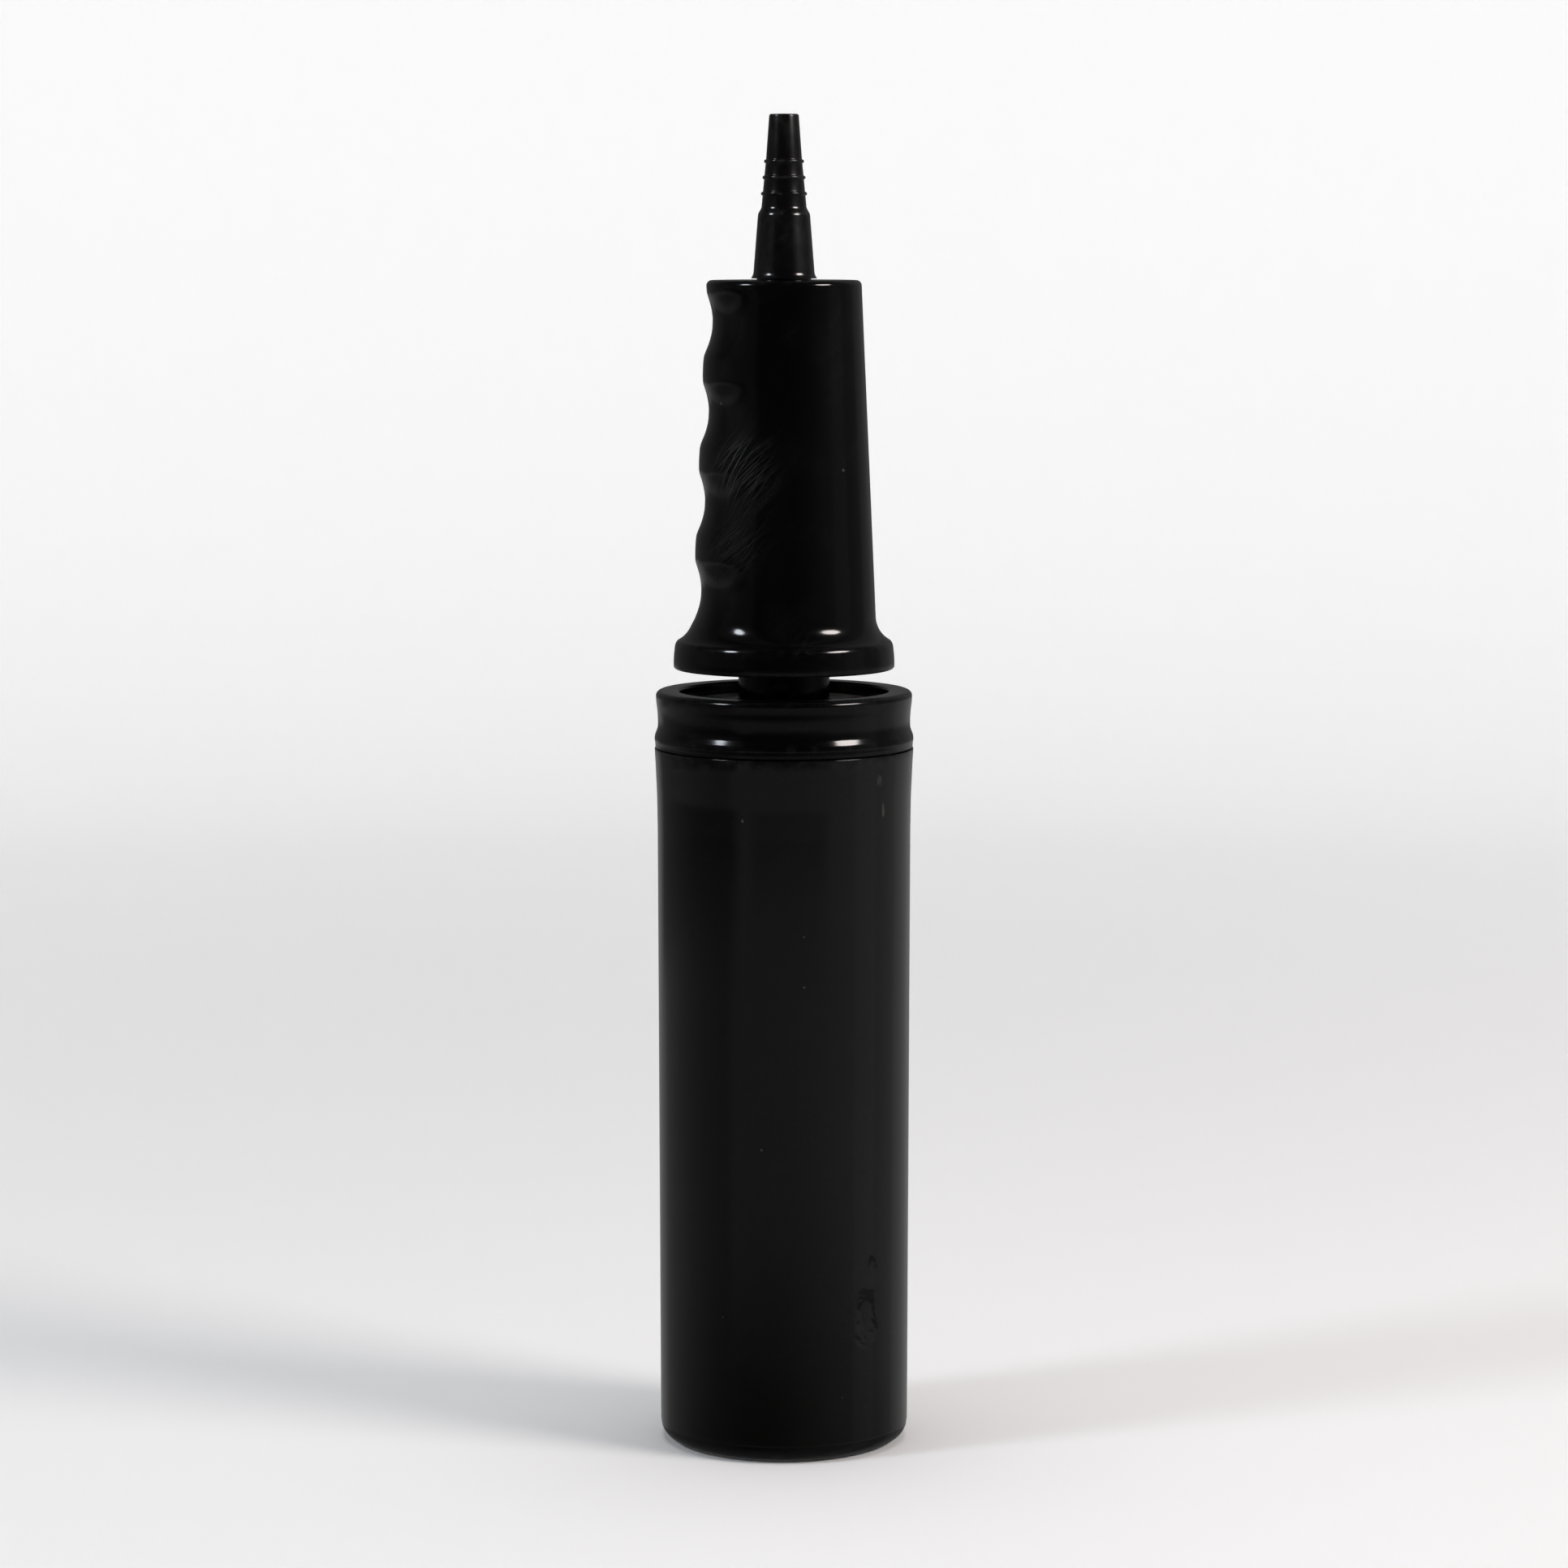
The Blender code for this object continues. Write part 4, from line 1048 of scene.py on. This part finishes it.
    def execute(self, context):
        sizes = context.scene.ball_pump.handle
        gloss = bpy.data.materials.get("gloss_black_plastic") or gloss_material()
        guide = bpy.data.materials.get("guide_plastic") or guide_material()
        dress(self.grip(sizes), gloss, "plunger", "handle_grip")
        dress(self.base(sizes), guide, "plunger", "handle_base")
        return {"FINISHED"}


class BALLPUMP_OT_nozzle(bpy.types.Operator):
    """Model the nozzle with its shoulder, rings, air bore and spigot"""
    bl_idname = "ball_pump.nozzle"
    bl_label = "Nozzle"

    FOOT_GAP = 0.3 * MM
    FLARE_HEIGHT = 0.12 * MM
    BASE_RISE = 0.7 * MM
    BORE_ROUND = 0.25 * MM
    TIP_ROUND = 0.35 * MM
    RING_ROUND = 0.12 * MM
    # Shares of a ring's half height and of its rise
    RING_SIDES = ((1, 0), (0.55, 1), (-0.55, 1), (-1, 0))

    def neck(self, sizes, height):
        """Radius of the plain neck at a height."""
        along = (height - sizes.neck_height) / (sizes.slim_height - sizes.neck_height)
        return sizes.neck_radius + (sizes.slim_radius - sizes.neck_radius) * along

    def ring_corners(self, sizes, height):
        """One thin ring, from its upper side to its lower side."""
        corners = []
        for offset, proud in self.RING_SIDES:
            level = height + offset * sizes.ring_half
            radius = self.neck(sizes, level) + proud * sizes.ring_proud
            corners.append((radius, level, self.RING_ROUND))
        return corners

    def execute(self, context):
        sizes = context.scene.ball_pump.nozzle
        foot = GRIP_TOP + self.FOOT_GAP
        rings = []
        crests = []
        for index in reversed(range(sizes.rings)):
            height = sizes.ring_first + index * sizes.ring_pitch
            rings += self.ring_corners(sizes, height)
            crests.append((self.neck(sizes, height) + sizes.ring_proud, height))
        corners = [
            (sizes.bore, NOZZLE_TIP, self.BORE_ROUND),
            (sizes.tip_radius, NOZZLE_TIP, self.TIP_ROUND),
            (sizes.slim_radius, sizes.slim_height, CRISP_ROUND),
            *rings,
            (sizes.neck_radius, sizes.neck_height, EASED_ROUND),
            (sizes.shoulder_radius, sizes.shoulder_height, self.TIP_ROUND),
            (sizes.base_radius, foot + self.BASE_RISE, FULL_ROUND),
            (sizes.flare_radius, foot + self.FLARE_HEIGHT),
            (sizes.flare_radius, foot),
            (sizes.spigot, foot),
            (sizes.spigot, sizes.groove_high, FAINT_ROUND),
            (sizes.groove_radius, sizes.groove_high),
            (sizes.groove_radius, sizes.groove_low),
            (sizes.spigot, sizes.groove_low, FAINT_ROUND),
            (sizes.spigot, SPIGOT_BOTTOM, EASED_ROUND),
            (sizes.bore, SPIGOT_BOTTOM, FINE_ROUND),
        ]
        nozzle = turn_piece("nozzle_taper", corners, THIN_STEPS)
        shoulder = (sizes.shoulder_radius, sizes.shoulder_height)
        paint_wear(nozzle, [(sizes.tip_radius, NOZZLE_TIP), shoulder, *crests], reach=0.35 * MM)
        dress(nozzle, nozzle_material(), "plunger", "nozzle")
        return {"FINISHED"}


class BALLPUMP_OT_inner_pieces(bpy.types.Operator):
    """Give the seals and the inner mouldings their finish"""
    bl_idname = "ball_pump.inner_pieces"
    bl_label = "Inner Pieces"

    def execute(self, context):
        finishes = {"seal_rubber": rubber_material(), "inner_plastic": inner_material()}
        for part in frame["record"]["subparts"]:
            finish = finishes.get(part["material_slot"])
            if finish:
                node = frame["nodes"][part["node"]]
                for holder in node.material_slots:
                    holder.material = finish
        return {"FINISHED"}


class BALLPUMP_OT_stage(bpy.types.Operator):
    """Set up the sweep, the lamps, the room light and the camera"""
    bl_idname = "ball_pump.stage"
    bl_label = "Stage"

    FLAT_RADIUS = 0.9
    WALL_RADIUS = 1.5
    WALL_TOP = 1.3
    CURVE_SEGMENTS = 24
    FLOOR_DROP = 0.0002
    LEFT_LAMP = (-0.877, -0.428, 0.78)
    LEFT_SIZE = (0.25, 0.28)
    RIGHT_LAMP = (0.91, -0.444, 0.74)
    RIGHT_SIZE = (0.47, 0.28)
    TOP_LAMP = (0.0, 0.1, 1.5)
    TOP_SIZE = (1.0, 1.0)
    LAMP_AIM = (0.0, 0.0, 0.18)
    DIM_SIDE = (-0.346, -0.742, 0.574)
    DIM_SPREAD = (-0.2, 0.75)
    LIFT_START = 0.15
    # Degrees from the front, half the width in degrees, and the rise of the foot
    WINDOWS = ((-70, 30, -0.05), (80, 12, -1.0), (140, 20, -1.0))
    # Rises between which the mirrored floor starts far off and ends nearby
    FLOOR_FAR = (-0.095, -0.115)
    FLOOR_NEAR = (-0.34, -0.26)
    # As for the windows, and the share of the floor that the stand hides
    STANDS = ((-95, 52, -0.165, 1.0), (5, 34, -0.155, 0.7), (-95, 45, -1.0, 0.4))
    PANE_BLUR = 0.008
    PANE_EDGE = 0.15

    def sweep_material(self, settings):
        """Pale matte paper, lifted towards white with distance where the camera sees it."""
        material = bpy.data.materials.new("sweep_paper")
        material.use_nodes = True
        material.cycles.emission_sampling = "NONE"
        bench = NodeBench(material.node_tree)
        away = bench.add("ShaderNodeVectorMath", {0: bench.place()}, operation="LENGTH").outputs["Value"]
        lift = bench.remap(away, self.LIFT_START, self.WALL_RADIUS, 0.0, settings.backdrop_lift)
        seen = bench.add("ShaderNodeLightPath").outputs["Is Camera Ray"]
        paper = bench.add("ShaderNodeBsdfPrincipled", {
            "Base Color": (*settings.sweep_colour, 1.0),
            "Roughness": 0.9,
            "Specular IOR Level": 0.1,
            "Emission Color": WHITE,
            "Emission Strength": bench.times(lift, seen),
        })
        bench.add("ShaderNodeOutputMaterial", {"Surface": paper.outputs["BSDF"]})
        return material

    def sweep(self, settings):
        """A round floor that curves up into a wall."""
        curve = self.WALL_RADIUS - self.FLAT_RADIUS
        corners = [(0, 0), (self.FLAT_RADIUS, 0)]
        corners += arc(self.FLAT_RADIUS, curve, curve, -90, 0, self.CURVE_SEGMENTS)[1:]
        corners.append((self.WALL_RADIUS, self.WALL_TOP))
        lowered = [(radius, height - self.FLOOR_DROP) for radius, height in corners]
        sweep = turn_piece("sweep", lowered, closed=False)
        sweep.data.flip_normals()
        smooth(sweep)
        sweep.data.materials.append(self.sweep_material(settings))
        sweep.visible_glossy = False

    def lamp(self, name, place, size, power, tone):
        """A soft oval lamp aimed at the pump."""
        deselect_everything()
        bpy.ops.object.light_add(type="AREA", location=place)
        lamp = bpy.context.object
        lamp.name = name
        lamp.data.shape = "ELLIPSE"
        lamp.data.size, lamp.data.size_y = size
        lamp.data.energy = power
        lamp.data.color = tone
        lamp.visible_camera = False
        aim = Vector(self.LAMP_AIM) - Vector(place)
        lamp.rotation_euler = aim.to_track_quat("-Z", "Y").to_euler()
        return lamp

    def pane(self, bench, outward, middle, half, foot):
        """A soft mask on the room: an angle from the front, half its width, and how low it reaches."""
        turn, rise = bench.unwrap(outward)
        aside = bench.sum_up("ABSOLUTE", bench.minus(turn, math.radians(middle)))
        outer = math.radians(half * (1 + self.PANE_EDGE))
        inner = math.radians(half * (1 - self.PANE_EDGE))
        across = bench.remap(aside, outer, inner)
        above = bench.remap(rise, foot - self.PANE_BLUR, foot + self.PANE_BLUR)
        return bench.times(across, above)

    def mirrored_floor(self, bench, outward, settings):
        """The pale floor round the pump, with dark stands on it."""
        rise = bench.unwrap(outward)[1]
        far = bench.remap(rise, *self.FLOOR_FAR)
        glow = bench.times(far, bench.remap(rise, *self.FLOOR_NEAR, 0.0, settings.floor_glow))
        for middle, half, foot, cover in self.STANDS:
            hidden = bench.times(self.pane(bench, outward, middle, half, foot), cover)
            glow = bench.times(glow, bench.minus(1.0, hidden))
        return glow

    def world(self, settings):
        """Light of the room: dim on the camera's side, with windows and a pale floor to mirror."""
        world = bpy.data.worlds.new("room")
        world.use_nodes = True
        bench = NodeBench(world.node_tree)
        outward = bench.add("ShaderNodeTexCoord").outputs["Generated"]
        sides = {0: outward, 1: self.DIM_SIDE}
        toward = bench.add("ShaderNodeVectorMath", sides, operation="DOT_PRODUCT").outputs["Value"]
        level = bench.remap(toward, *self.DIM_SPREAD, settings.room_strength, settings.dim_strength)
        for middle, half, foot in self.WINDOWS:
            window = self.pane(bench, outward, middle, half, foot)
            level = bench.plus(level, bench.times(window, settings.window_strength))
        level = bench.plus(level, self.mirrored_floor(bench, outward, settings))
        light = bench.add("ShaderNodeBackground", {"Strength": level, "Color": WHITE})
        bench.add("ShaderNodeOutputWorld", {"Surface": light.outputs["Background"]})
        bpy.context.scene.world = world

    def camera(self, settings):
        """The camera, at the photograph's height and distance, aimed at the pump's middle."""
        place = Vector((0, -settings.camera_distance, settings.camera_height))
        aim = Vector((0, 0, (CAD_BOX[0].z + CAD_BOX[1].z) / 2)) - place
        bpy.ops.object.camera_add(location=place, rotation=aim.to_track_quat("-Z", "Y").to_euler())
        camera = bpy.context.object
        camera.data.lens = settings.lens
        bpy.context.scene.camera = camera

    def execute(self, context):
        settings = context.scene.ball_pump.stage
        self.sweep(settings)
        self.lamp("left_lamp", self.LEFT_LAMP, self.LEFT_SIZE, settings.left_power, settings.left_colour)
        self.lamp("right_lamp", self.RIGHT_LAMP, self.RIGHT_SIZE, settings.right_power,
                  settings.right_colour)
        fill = self.lamp("top_lamp", self.TOP_LAMP, self.TOP_SIZE, settings.top_power, WHITE[:3])
        fill.visible_glossy = False
        self.world(settings)
        self.camera(settings)
        context.scene.view_settings.view_transform = "Standard"
        return {"FINISHED"}


class BALLPUMP_PT_panel(bpy.types.Panel):
    """Lists the pump's operators"""
    bl_idname = "BALLPUMP_PT_panel"
    bl_label = "Ball Pump"
    bl_space_type = "VIEW_3D"
    bl_region_type = "UI"
    bl_category = "Ball Pump"

    def draw(self, context):
        for operator in OPERATORS:
            self.layout.operator(operator.bl_idname)


SETTINGS = (
    PumpBarrelSizes,
    PumpCollarSizes,
    PumpHandleSizes,
    PumpNozzleSizes,
    PumpFinish,
    PumpStage,
    PumpSettings,
)
OPERATORS = (
    BALLPUMP_OT_barrel,
    BALLPUMP_OT_collar,
    BALLPUMP_OT_rod_guide,
    BALLPUMP_OT_rod,
    BALLPUMP_OT_handle,
    BALLPUMP_OT_nozzle,
    BALLPUMP_OT_inner_pieces,
    BALLPUMP_OT_stage,
)
CLASSES = (*SETTINGS, *OPERATORS, BALLPUMP_PT_panel)


def register():
    """Register the classes and the scene's settings."""
    for item in CLASSES:
        bpy.utils.register_class(item)
    bpy.types.Scene.ball_pump = bpy.props.PointerProperty(type=PumpSettings, name="Ball pump",
                                                         description="All settings of the pump")


def unregister():
    """Remove what register added."""
    del bpy.types.Scene.ball_pump
    for item in reversed(CLASSES):
        bpy.utils.unregister_class(item)


def main():
    """Build the pump and its stage."""
    register()
    bpy.ops.ball_pump.barrel()
    bpy.ops.ball_pump.collar()
    bpy.ops.ball_pump.rod_guide()
    bpy.ops.ball_pump.rod()
    bpy.ops.ball_pump.handle()
    bpy.ops.ball_pump.nozzle()
    bpy.ops.ball_pump.inner_pieces()
    bpy.ops.ball_pump.stage()


if __name__ == "__main__":
    main()
